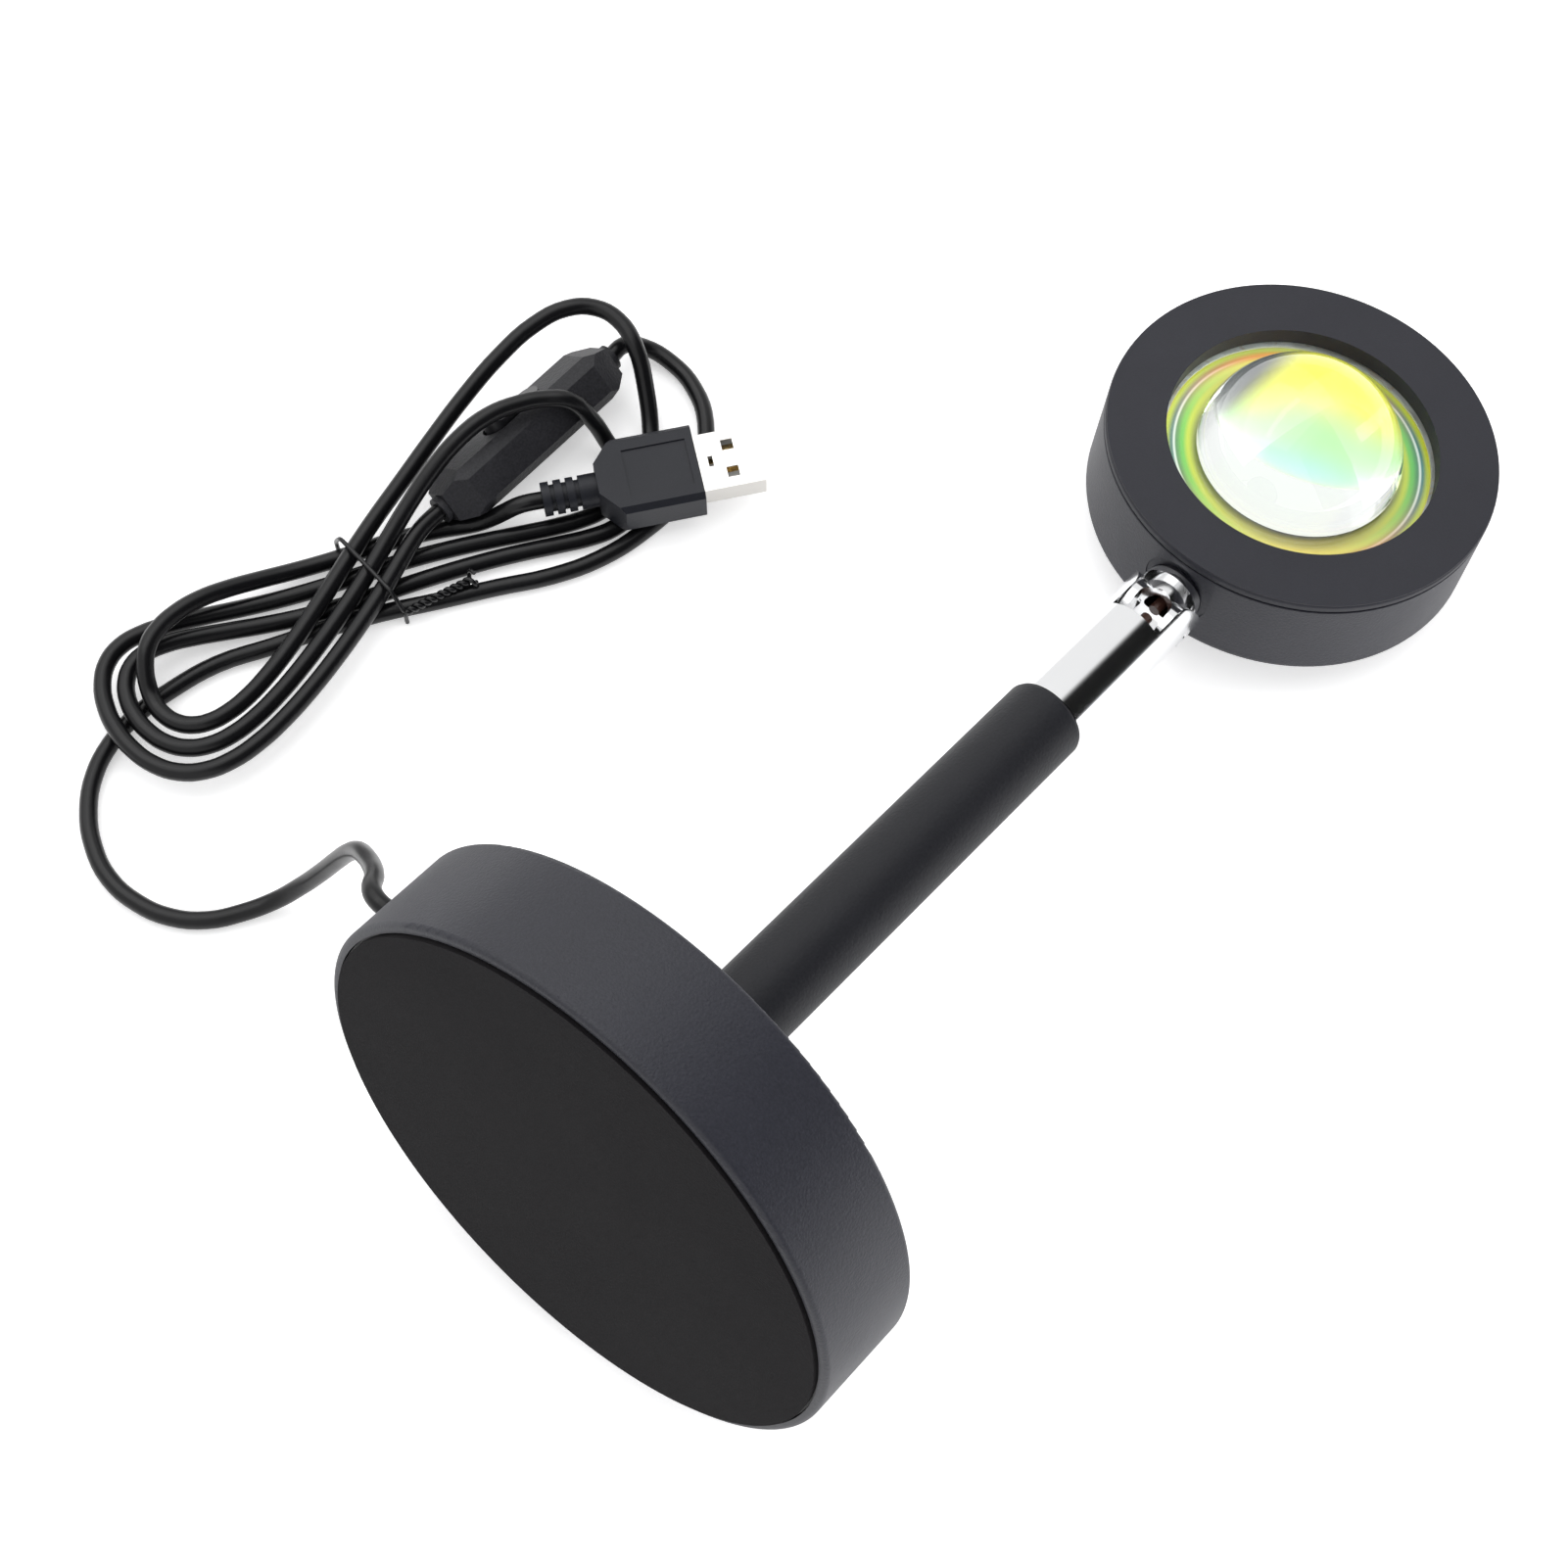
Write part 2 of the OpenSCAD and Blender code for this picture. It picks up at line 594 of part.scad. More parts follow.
module cord_grommet() {
    flange_in = sqrt(pow(shell_bore_r, 2) - pow(grommet_d / 2, 2)) - eps;
    color([0.08, 0.08, 0.09]) on_stem() translate([0, 0, cord_hole_h]) rotate([-90, 0, cord_turn])
        difference() {
            union() {
                translate([0, 0, base_d / 2]) cylinder(d = grommet_d, h = grommet_t);
                translate([0, 0, flange_in - grommet_t]) cylinder(d = grommet_d, h = grommet_t);
                translate([0, 0, flange_in - eps])
                    cylinder(d = grommet_neck_d, h = base_d / 2 - flange_in + 2 * eps);
            }
            translate([0, 0, flange_in - 2 * grommet_t]) cylinder(d = cord_d, h = base_d);
        }
}

module stem_washer() {
    color([0.7, 0.7, 0.72]) on_stem() washer(washer_d / 2, rod_d / 2, washer_low, ballast_low);
}

module stem_nut() {
    color([0.75, 0.75, 0.77]) on_stem() hex_nut(stem_nut_af, rod_d, nut_low, stem_nut_t);
}

module stem_rod() {
    color([0.75, 0.75, 0.77]) on_stem() washer(rod_d / 2, rod_bore_d / 2, rod_low, foot_top);
}

module stem_foot() {
    color([0.7, 0.6, 0.35]) on_stem() washer(spigot_d / 2, rod_d / 2, base_h, foot_top);
}

module stem_sleeve() {
    color([0.2, 0.21, 0.24]) on_stem() rotate_extrude() difference() {
        union() {
            translate([0, base_h]) square([sleeve_d / 2, sleeve_len - sleeve_edge_r]);
            translate([0, base_h]) square([sleeve_d / 2 - sleeve_edge_r, sleeve_len]);
            translate([sleeve_d / 2 - sleeve_edge_r, sleeve_top - sleeve_edge_r]) circle(sleeve_edge_r);
        }
        translate([-sleeve_d, base_h - eps]) square([sleeve_d + spigot_d / 2, sleeve_len + 2 * eps]);
    }
}

module fork_tube() {
    color([0.9, 0.9, 0.92]) on_stem() difference() {
        union() {
            translate([0, 0, sleeve_top]) cylinder(d = fork_d, h = fork_len);
            translate([0, 0, sleeve_top - spigot_len]) cylinder(d = spigot_d, h = spigot_len + eps);
            translate([0, 0, pivot_at - eps]) intersection() {
                cylinder(d = fork_d, h = fork_d);
                translate([0, -fork_d, 0]) rotate([-90, 0, 0]) cylinder(r = ear_r, h = 2 * fork_d);
            }
        }
        translate([0, 0, sleeve_top - spigot_len - eps])
            cylinder(d = spigot_bore_d, h = spigot_len + spigot_floor + 2 * eps);
        translate([0, 0, sleeve_top + spigot_floor]) cylinder(d = fork_bore_d, h = fork_len + fork_d);
        translate([-fork_d, -slot_w / 2, pivot_at - slot_depth]) cube([2 * fork_d, slot_w, fork_d]);
        translate([0, -fork_d, pivot_at]) rotate([-90, 0, 0]) cylinder(d = pin_d, h = 2 * fork_d);
    }
}

module hinge_pins() {
    pin_in = passage_w / 2;
    pin_out = sqrt(pow(fork_d / 2, 2) - pow(pin_d / 2, 2));
    color([0.85, 0.85, 0.87]) on_stem() for (s = [-1, 1]) translate([0, 0, pivot_at])
        rotate([-90 * s, 0, 0]) translate([0, 0, pin_in]) cylinder(d = pin_d, h = pin_out - pin_in);
}

module stem_lead() {
    color([0.55, 0.33, 0.2]) on_stem() rotate([0, 0, cord_turn])
        tube_along(bent([[0, 0, pivot_at - lead_end], [0, 0, lead_run_h], [0, splice_mid, lead_run_h]],
            bend_len), lead_d, 10, [1, 0, 0]);
}

module neck() {
    knuckle_w = slot_w - 2 * knuckle_gap;
    boss_out = sqrt(pow(fork_bore_d / 2, 2) - pow(boss_d / 2, 2)) - boss_gap;
    color([0.9, 0.9, 0.92]) on_arm() difference() {
        union() {
            translate([0, -knuckle_w / 2, 0]) rotate([-90, 0, 0]) cylinder(d = knuckle_d, h = knuckle_w);
            translate([0, -boss_out, 0]) rotate([-90, 0, 0]) cylinder(d = boss_d, h = 2 * boss_out);
            rotate([0, 90, 0]) cylinder(d = neck_d, h = collar_at + eps);
            translate([collar_at, 0, 0]) rotate([0, 90, 0])
                cylinder(d = collar_d, h = collar_end - collar_at);
            translate([collar_end - eps, 0, 0]) rotate([0, 90, 0])
                cylinder(d = neck_thread_d, h = neck_end - collar_end);
        }
        rotate([0, 90, 0]) cylinder(d = neck_bore_d, h = neck_end + 1);
        translate([0, 0, -knuckle_d]) cylinder(d = passage_w, h = 2 * knuckle_d);
        translate([-knuckle_d, -passage_w / 2, -knuckle_d]) cube([knuckle_d, passage_w, 2 * knuckle_d]);
        translate([0, -boss_out - eps, 0]) rotate([-90, 0, 0])
            cylinder(r = pin_d / 2 + pin_fit, h = 2 * boss_out + 2 * eps);
    }
}

module neck_nut() {
    color([0.75, 0.75, 0.77]) on_arm() rotate([0, 90, 0])
        hex_nut(neck_nut_af, neck_thread_d, land_x, neck_nut_t);
}

module head_housing() {
    color([0.2, 0.21, 0.24]) in_head() difference() {
        rounded_disc(head_d / 2, -face_top, housing_top, head_edge_r, seam_edge_r);
        translate([0, 0, floor_top]) difference() {
            cylinder(r = head_d / 2 - head_wall, h = head_h);
            translate([-head_d, -head_d / 2, -eps])
                cube([head_d + land_x - arm, head_d, land_top - floor_top + eps]);
        }
        translate([-arm + collar_end - spot_depth - 1, 0, 0]) rotate([0, 90, 0])
            cylinder(d = spot_d, h = spot_depth + 1);
        translate([-arm, 0, 0]) rotate([0, 90, 0]) cylinder(d = neck_thread_d, h = arm / 2);
        around(screw_n, board_screw_r) translate([0, 0, floor_top - screw_bite])
            cylinder(d = screw_d, h = screw_bite + eps);
    }
}

module front_lid() {
    boss_r = lid_boss_d / 2;
    color([0.23, 0.24, 0.26]) in_head() difference() {
        union() {
            rounded_disc(head_d / 2, lid_low, face_top, seam_edge_r, head_edge_r);
            washer(skirt_r, skirt_r - skirt_t, housing_top - skirt_h, lid_low + eps);
            translate([0, 0, flange_top])
                cylinder(r = opening_d / 2 + opening_rim, h = lid_low - flange_top + eps);
            around(screw_n, lid_screw_r)
                translate([0, 0, filter_low]) cylinder(r = boss_r, h = lid_low - filter_low + eps);
        }
        translate([0, 0, flange_top - 1]) cylinder(d = opening_d, h = head_h);
        translate([0, 0, filter_low - 1])
            cylinder(r = flange_r + lens_fit, h = flange_top - filter_low + 1);
        around(screw_n, lid_screw_r) translate([0, 0, filter_low - eps])
            cylinder(d = screw_d, h = lid_low - filter_low - screw_end / 2);
    }
}

module lens() {
    color([0.75, 0.85, 0.6, 0.5]) in_head() rotate_extrude() union() {
        translate([0, flange_low]) square([flange_r, flange_t]);
        translate([0, flange_low]) square([dome_foot_r, dome_low - flange_low]);
        intersection() {
            translate([0, dome_low + dome_h - dome_r]) circle(dome_r);
            translate([0, dome_low - eps]) square([dome_foot_r, dome_h + 1]);
        }
    }
}

module lens_gasket() {
    color([0.85, 0.85, 0.85]) in_head() washer(flange_r, flange_r - gasket_w, gasket_low, flange_low);
}

module colour_filter() {
    color([0.95, 0.75, 0.2, 0.7]) in_head() translate([0, 0, filter_low])
        cylinder(r = flange_r, h = filter_t);
}

module reflector() {
    throat_r = reflector_mouth_d / 2;
    color([0.88, 0.88, 0.9]) in_head() difference() {
        union() {
            translate([0, 0, reflector_flange_low]) cylinder(r = flange_r, h = reflector_flange_t);
            around(screw_n, lid_screw_r)
                translate([0, 0, reflector_flange_low]) {
                    cylinder(d = lid_boss_d + 1, h = reflector_flange_t);
                    translate([flange_r - lid_screw_r - 1, -lid_boss_d / 2, 0])
                        cube([lid_screw_r - flange_r + 1, lid_boss_d, reflector_flange_t]);
                }
            translate([0, 0, reflector_low]) cylinder(r1 = throat_r + reflector_wall,
                r2 = reflector_top_r + reflector_wall, h = filter_low - reflector_low);
        }
        translate([0, 0, reflector_low - eps]) cylinder(r1 = throat_r, r2 = reflector_top_r,
            h = filter_low - reflector_low + 2 * eps);
        around(screw_n, lid_screw_r)
            translate([0, 0, reflector_flange_low - eps])
                cylinder(d = screw_d, h = reflector_flange_t + 2 * eps);
    }
}

module lid_screws() {
    color([0.75, 0.75, 0.77]) in_head() around(screw_n, lid_screw_r)
        translate([0, 0, reflector_flange_low]) mirror([0, 0, 1])
            pan_screw(lid_low - reflector_flange_low - screw_end);
}

module heat_sink() {
    color([0.75, 0.76, 0.78]) in_head() difference() {
        translate([0, 0, floor_top]) cylinder(r = sink_r, h = sink_t);
        around(screw_n, board_screw_r) translate([0, 0, floor_top - eps])
            cylinder(d = screw_d, h = sink_t + 2 * eps);
    }
}

module led_board() {
    color([0.92, 0.92, 0.9]) in_head() difference() {
        translate([0, 0, sink_top]) cylinder(d = board_d, h = board_t);
        around(screw_n, board_screw_r) translate([0, 0, sink_top - eps])
            cylinder(d = screw_d, h = board_t + 2 * eps);
    }
}

module led_chip() {
    color([0.95, 0.85, 0.35]) in_head() translate([-chip_w / 2, -chip_w / 2, board_top])
        cube([chip_w, chip_w, chip_t]);
}

module board_screws() {
    color([0.75, 0.75, 0.77]) in_head() around(screw_n, board_screw_r)
        translate([0, 0, board_top]) pan_screw(board_t + sink_t + screw_bite);
}

module head_lead() {
    rest_z = board_top + lead_d / 2;
    board_edge = arm - board_d / 2;
    start_in = 1.6;
    past_neck = 3;
    past_edge = 2.4;
    color([0.55, 0.33, 0.2]) on_arm() tube_along(bent([[start_in, 0, 0], [neck_end + past_neck, 0, 0],
        [board_edge - past_edge, 0, rest_z], [board_edge + past_edge, 0, rest_z]], bend_len),
        lead_d, 10, [0, 1, 0]);
}

module inner_cord() {
    color([0.07, 0.07, 0.08]) on_stem() rotate([0, 0, cord_turn])
        tube_along(bent([[0, exit_r, cord_hole_h], [0, cord_drop_out, cord_hole_h],
            [0, cord_drop_in, lead_run_h], [0, splice_mid, lead_run_h]], bend_len), cord_d, 10, [1, 0, 0]);
}

module splice_sleeve() {
    color([0.12, 0.12, 0.13]) on_stem() translate([0, 0, lead_run_h]) rotate([-90, 0, cord_turn])
        difference() {
            translate([0, 0, splice_in]) cylinder(d = splice_d, h = splice_out - splice_in);
            translate([0, 0, splice_mid]) cylinder(d = cord_d, h = splice_out);
            translate([0, 0, splice_in - eps]) cylinder(d = lead_d, h = splice_out);
        }
}

module cord_lead() {
    color([0.07, 0.07, 0.08]) tube_along(lead_points, cord_d, 8);
}

module cord_hank() {
    echo(hank_gap = self_gap(hank_route, cord_d, 3));
    color([0.07, 0.07, 0.08]) tube_along(hank_route, cord_d, 6);
}

// Wire tie over the bundle, with its end laid on the cord beside it
module hank_tie() {
    tie_d = 0.9;
    tie_gap = 0.4;
    tie_tail = 14.5;
    tie_turn = 12;
    bend = 1.2;
    lead_under = -5.2;
    room = cord_d / 2 / cos(cross_half) + tie_gap + tie_d / 2;
    foot_out = strand_pitch * out_place[0] / cos(cross_half) + room;
    foot_in = lead_under - room;
    top_out = strand_pitch * back_place[0] / cos(cross_half) + room;
    top_in = strand_pitch * back_place[2] / cos(cross_half) - room;
    top_z = ground_z + layer_h + cord_d / 2 + tie_gap + tie_d / 2;
    side_z = ground_z + cord_d / 2 + tie_gap / 2 + tie_d / 2;
    color([0.06, 0.06, 0.07]) translate([tie_pos[0], tie_pos[1], 0]) rotate([0, 0, hank_bearing])
        tube_along(bent([[0, foot_out, tie_d / 2], [0, foot_out, side_z], [0, top_out, top_z],
            [0, top_in, top_z], [0, foot_in, side_z],
            [tie_tail * cos(tie_turn), foot_in - tie_tail * sin(tie_turn), side_z]], bend),
            tie_d, 6, [1, 0, 0]);
}

// Outline of the switch across its cord, with bevelled edges
module switch_section(grow = 0) {
    hw = switch_w / 2 + grow;
    hh = switch_h / 2 + grow;
    c = switch_bevel;
    polygon([[hw, -hh + c], [hw, hh - c], [hw - c, hh], [-hw + c, hh], [-hw, hh - c], [-hw, -hh + c],
        [-hw + c, -hh], [hw - c, -hh]]);
}

// Outline of the switch along its cord, with tapered ends
module switch_outline(half, end_in, grow = 0) {
    hl = switch_len / 2 + grow;
    t = switch_taper;
    polygon([[hl, end_in - half], [hl, half - end_in], [hl - t, half], [-hl + t, half],
        [-hl, half - end_in], [-hl, end_in - half], [-hl + t, -half], [hl - t, -half]]);
}

module switch_block(grow = 0) {
    intersection() {
        translate([-switch_len, 0, 0]) rotate([90, 0, 90]) linear_extrude(2 * switch_len)
            switch_section(grow);
        translate([0, 0, -switch_h]) linear_extrude(2 * switch_h)
            switch_outline(switch_w / 2 + grow, end_in_w, grow);
        translate([0, switch_w, 0]) rotate([90, 0, 0]) linear_extrude(2 * switch_w)
            switch_outline(switch_h / 2 + grow, end_in_h, grow);
    }
}

module stadium(l, w) {
    for (s = [-1, 1]) translate([s * (l - w) / 2, 0]) circle(d = w);
    square([l - w, w], center = true);
}

module switch_shell() {
    difference() {
        union() {
            switch_block();
            translate([-switch_end, 0, 0]) rotate([0, 90, 0]) cylinder(d = cord_d + 2, h = 2 * switch_end);
        }
        switch_block(-switch_wall);
        translate([0, 0, switch_h / 2 - well_depth]) linear_extrude(switch_h)
            stadium(rocker_len + 2 * rocker_gap, rocker_w + 2 * rocker_gap);
    }
}

// A round bar across the switch on the rocker's axis
module across_switch(d, l) {
    translate([0, -l / 2, rocker_axis_z]) rotate([-90, 0, 0]) cylinder(d = d, h = l);
}

module switch_lower() {
    color([0.09, 0.09, 0.1]) on_switch() intersection() {
        switch_shell();
        translate([-switch_len, -switch_w, -switch_h]) cube([2 * switch_len, 2 * switch_w, switch_h]);
    }
}

module switch_upper() {
    inner_w = rocker_w + 2 * rocker_gap;
    lug_w = bearing_len - inner_w;
    color([0.12, 0.12, 0.13]) on_switch() difference() {
        union() {
            difference() {
                switch_shell();
                translate([-switch_len, -switch_w, -switch_h])
                    cube([2 * switch_len, 2 * switch_w, switch_h]);
            }
            for (s = [-1, 1]) translate([-lug_l / 2, s * (inner_w + lug_w) / 2 - lug_w / 2, lug_low])
                cube([lug_l, lug_w, switch_h / 2 - switch_wall + eps - lug_low]);
        }
        across_switch(axle_d + 2 * axle_fit, bearing_len + 2 * eps);
    }
}

// Rocker with two sloping faces, resting at one end of its throw
module switch_rocker() {
    hl = rocker_len / 2;
    color([0.08, 0.08, 0.09]) on_switch() union() {
        translate([0, 0, rocker_axis_z]) rotate([0, rocker_throw / 2, 0]) intersection() {
            translate([0, 0, -rocker_deep]) linear_extrude(rocker_deep + switch_h)
                stadium(rocker_len, rocker_w);
            translate([0, rocker_w, 0]) rotate([90, 0, 0]) linear_extrude(2 * rocker_w)
                polygon([[-hl, -rocker_top / 2], [-rocker_foot, -rocker_deep], [rocker_foot, -rocker_deep],
                    [hl, -rocker_top / 2], [hl, rocker_rise + rocker_top], [0, rocker_rise + rocker_crest],
                    [-hl, rocker_rise + rocker_top]]);
        }
        across_switch(axle_d, axle_len);
    }
}

module switch_contacts() {
    strip_w = 2.4;
    strip_t = 0.5;
    strip_l = 10;
    strip_at = 8;
    low = -switch_h / 2 + switch_wall;
    color([0.8, 0.65, 0.3]) on_switch() for (s = [-1, 1])
        translate([s * strip_at - strip_l / 2, -strip_w / 2, low]) cube([strip_l, strip_w, strip_t]);
}

module plug_grip() {
    back = grip_len + grip_taper;
    bevel = 1;
    panel_in = 1.5;
    panel_w = 9.6;
    groove_n = 3;
    groove_w = 0.9;
    groove_pitch = 2.3;
    groove_in = 1.5;
    groove_depth = 0.7;
    color([0.1, 0.1, 0.11]) on_plug() difference() {
        union() {
            intersection() {
                translate([0, 0, -grip_h]) linear_extrude(2 * grip_h)
                    polygon([[0, -grip_w / 2], [0, grip_w / 2], [-grip_len, grip_w / 2],
                        [-back, relief_d / 2], [-back, -relief_d / 2], [-grip_len, -grip_w / 2]]);
                translate([-back - 1, 0, 0]) rotate([90, 0, 90]) linear_extrude(back + 1)
                    polygon([[grip_w / 2, grip_h / 2 - bevel], [grip_w / 2 - bevel, grip_h / 2],
                        [-grip_w / 2 + bevel, grip_h / 2], [-grip_w / 2, grip_h / 2 - bevel],
                        [-grip_w / 2, -grip_h / 2 + bevel], [-grip_w / 2 + bevel, -grip_h / 2],
                        [grip_w / 2 - bevel, -grip_h / 2], [grip_w / 2, -grip_h / 2 + bevel]]);
            }
            difference() {
                translate([-plug_back, 0, 0]) rotate([0, 90, 0]) cylinder(d = relief_d, h = relief_len + 1);
                for (i = [0 : groove_n - 1]) translate([-plug_back + groove_in + groove_pitch * i, 0, 0])
                    rotate([0, 90, 0]) washer(relief_d, relief_d / 2 - groove_depth, 0, groove_w);
            }
        }
        translate([-grip_len + panel_in, -panel_w / 2, grip_h / 2 - panel_depth])
            cube([grip_len - 2 * panel_in, panel_w, grip_h]);
        translate([-shell_in, -shell_w / 2, -shell_h / 2]) cube([shell_in + eps, shell_w, shell_h]);
    }
}

module plug_shell() {
    window_at = 5;
    window_out = 2.9;
    window_w = 2.2;
    dimple_at = 2;
    dimple_l = 0.9;
    color([0.92, 0.92, 0.92]) on_plug() difference() {
        translate([-shell_in, -shell_w / 2, -shell_h / 2]) cube([shell_in + shell_len, shell_w, shell_h]);
        translate([-shell_in + shell_t, -shell_w / 2 + shell_t, -shell_h / 2 + shell_t])
            cube([shell_in + shell_len, shell_w - 2 * shell_t, shell_h - 2 * shell_t]);
        for (s = [-1, 1]) translate([window_at, s * window_out - window_w / 2, 0])
            cube([window_w, window_w, shell_h]);
        translate([dimple_at, -window_w / 2, 0]) cube([dimple_l, window_w, shell_h]);
    }
}

module plug_tongue() {
    color([0.95, 0.95, 0.95]) on_plug()
        translate([-shell_in + shell_t, -shell_w / 2 + shell_t, -shell_h / 2 + shell_t])
            cube([shell_in + shell_len - 2 * shell_t, shell_w - 2 * shell_t, tongue_t]);
}

module plug_contacts() {
    contact_n = 4;
    contact_pitch = 2.4;
    contact_in = 1.5;
    contact_l = 7.5;
    contact_w = 1;
    contact_t = 0.2;
    first = -contact_pitch * (contact_n - 1) / 2 - contact_w / 2;
    color([0.85, 0.7, 0.3]) on_plug() for (i = [0 : contact_n - 1])
        translate([contact_in, first + contact_pitch * i, -shell_h / 2 + shell_t + tongue_t])
            cube([contact_l, contact_w, contact_t]);
}

base_shell();
base_pad();
base_plate();
base_ballast();
cord_grommet();
stem_washer();
stem_nut();
stem_rod();
stem_foot();
stem_sleeve();
fork_tube();
hinge_pins();
stem_lead();
neck();
neck_nut();
head_housing();
front_lid();
lens();
lens_gasket();
colour_filter();
reflector();
lid_screws();
heat_sink();
led_board();
led_chip();
board_screws();
head_lead();
inner_cord();
splice_sleeve();
cord_lead();
cord_hank();
hank_tie();
switch_lower();
switch_upper();
switch_rocker();
switch_contacts();
plug_grip();
plug_shell();
plug_tongue();
plug_contacts();
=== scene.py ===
"""Sunset projection lamp: camera, light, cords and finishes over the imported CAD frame."""

from __future__ import annotations

import json
import logging
import math
from dataclasses import dataclass, field
from enum import Enum
from typing import Sequence

import bmesh
import bpy
from mathutils import Matrix, Vector

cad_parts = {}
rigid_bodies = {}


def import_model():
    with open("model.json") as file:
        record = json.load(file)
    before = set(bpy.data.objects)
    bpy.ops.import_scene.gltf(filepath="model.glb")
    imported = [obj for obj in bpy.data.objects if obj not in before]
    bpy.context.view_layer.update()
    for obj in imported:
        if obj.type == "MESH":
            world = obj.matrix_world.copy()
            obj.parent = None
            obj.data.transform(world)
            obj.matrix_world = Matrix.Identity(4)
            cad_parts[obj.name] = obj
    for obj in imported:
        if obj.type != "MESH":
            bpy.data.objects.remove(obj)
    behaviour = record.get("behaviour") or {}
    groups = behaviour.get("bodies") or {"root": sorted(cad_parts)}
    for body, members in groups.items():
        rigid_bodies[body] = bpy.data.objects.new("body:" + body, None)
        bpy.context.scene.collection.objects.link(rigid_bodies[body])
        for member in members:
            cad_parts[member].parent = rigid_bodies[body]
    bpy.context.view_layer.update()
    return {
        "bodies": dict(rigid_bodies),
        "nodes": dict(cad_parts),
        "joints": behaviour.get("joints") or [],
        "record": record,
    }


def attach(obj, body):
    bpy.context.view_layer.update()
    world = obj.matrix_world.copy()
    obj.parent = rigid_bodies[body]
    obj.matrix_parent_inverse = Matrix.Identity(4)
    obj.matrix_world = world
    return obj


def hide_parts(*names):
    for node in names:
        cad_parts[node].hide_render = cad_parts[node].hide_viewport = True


LOG = logging.getLogger("sunset_lamp")
MM = 0.001

Item = bpy.types.Object
Material = bpy.types.Material
Node = bpy.types.Node
Socket = bpy.types.NodeSocket
Place = tuple[float, float, float]
Colour = tuple[float, float, float]
Stops = tuple[tuple[float, Colour], ...]

BLACK: Colour = (0.0, 0.0, 0.0)
WHITE: Colour = (1.0, 1.0, 1.0)
FLOAT, COLOUR, VECTOR = "NodeSocketFloat", "NodeSocketColor", "NodeSocketVector"
MIX_A, MIX_B, MIX_RESULT = 6, 7, 2  # a Mix node's sockets for colours
TUBE_BEVEL, TUBE_RUN = 5, 4  # a tube's bevel resolution, and its steps between two points
CORNER_STEPS = 4  # steps of a rounded corner


def deg(angle: float) -> float:
    """Returns an angle in radians from one in degrees."""
    return math.radians(angle)


def ease(x: float, a: float, b: float) -> float:
    """Returns a smooth step from 0 at a to 1 at b."""
    t = min(1.0, max(0.0, (x - a) / (b - a)))
    return t * t * (3 - 2 * t)


def bearing(angle: float, length: float = 1.0) -> Vector:
    """Returns a level vector of a given length at an angle in degrees from +X."""
    return Vector((length * math.cos(deg(angle)), length * math.sin(deg(angle)), 0))


def cubic(p: Vector, u: Vector, q: Vector, v: Vector, t: float) -> Vector:
    """Returns a point of the cubic run that leaves p along u and reaches q along v.

    Args:
        p: Start of the run.
        u: Direction and pull at the start.
        q: End of the run.
        v: Direction and pull at the end.
        t: Share of the way, from 0 to 1.

    Returns:
        The point at t.
    """
    return (
        (2 * t**3 - 3 * t**2 + 1) * p
        + (t**3 - 2 * t**2 + t) * u
        + (3 * t**2 - 2 * t**3) * q
        + (t**3 - t**2) * v
    )


# ---------------------------------------------------------------- resting pose


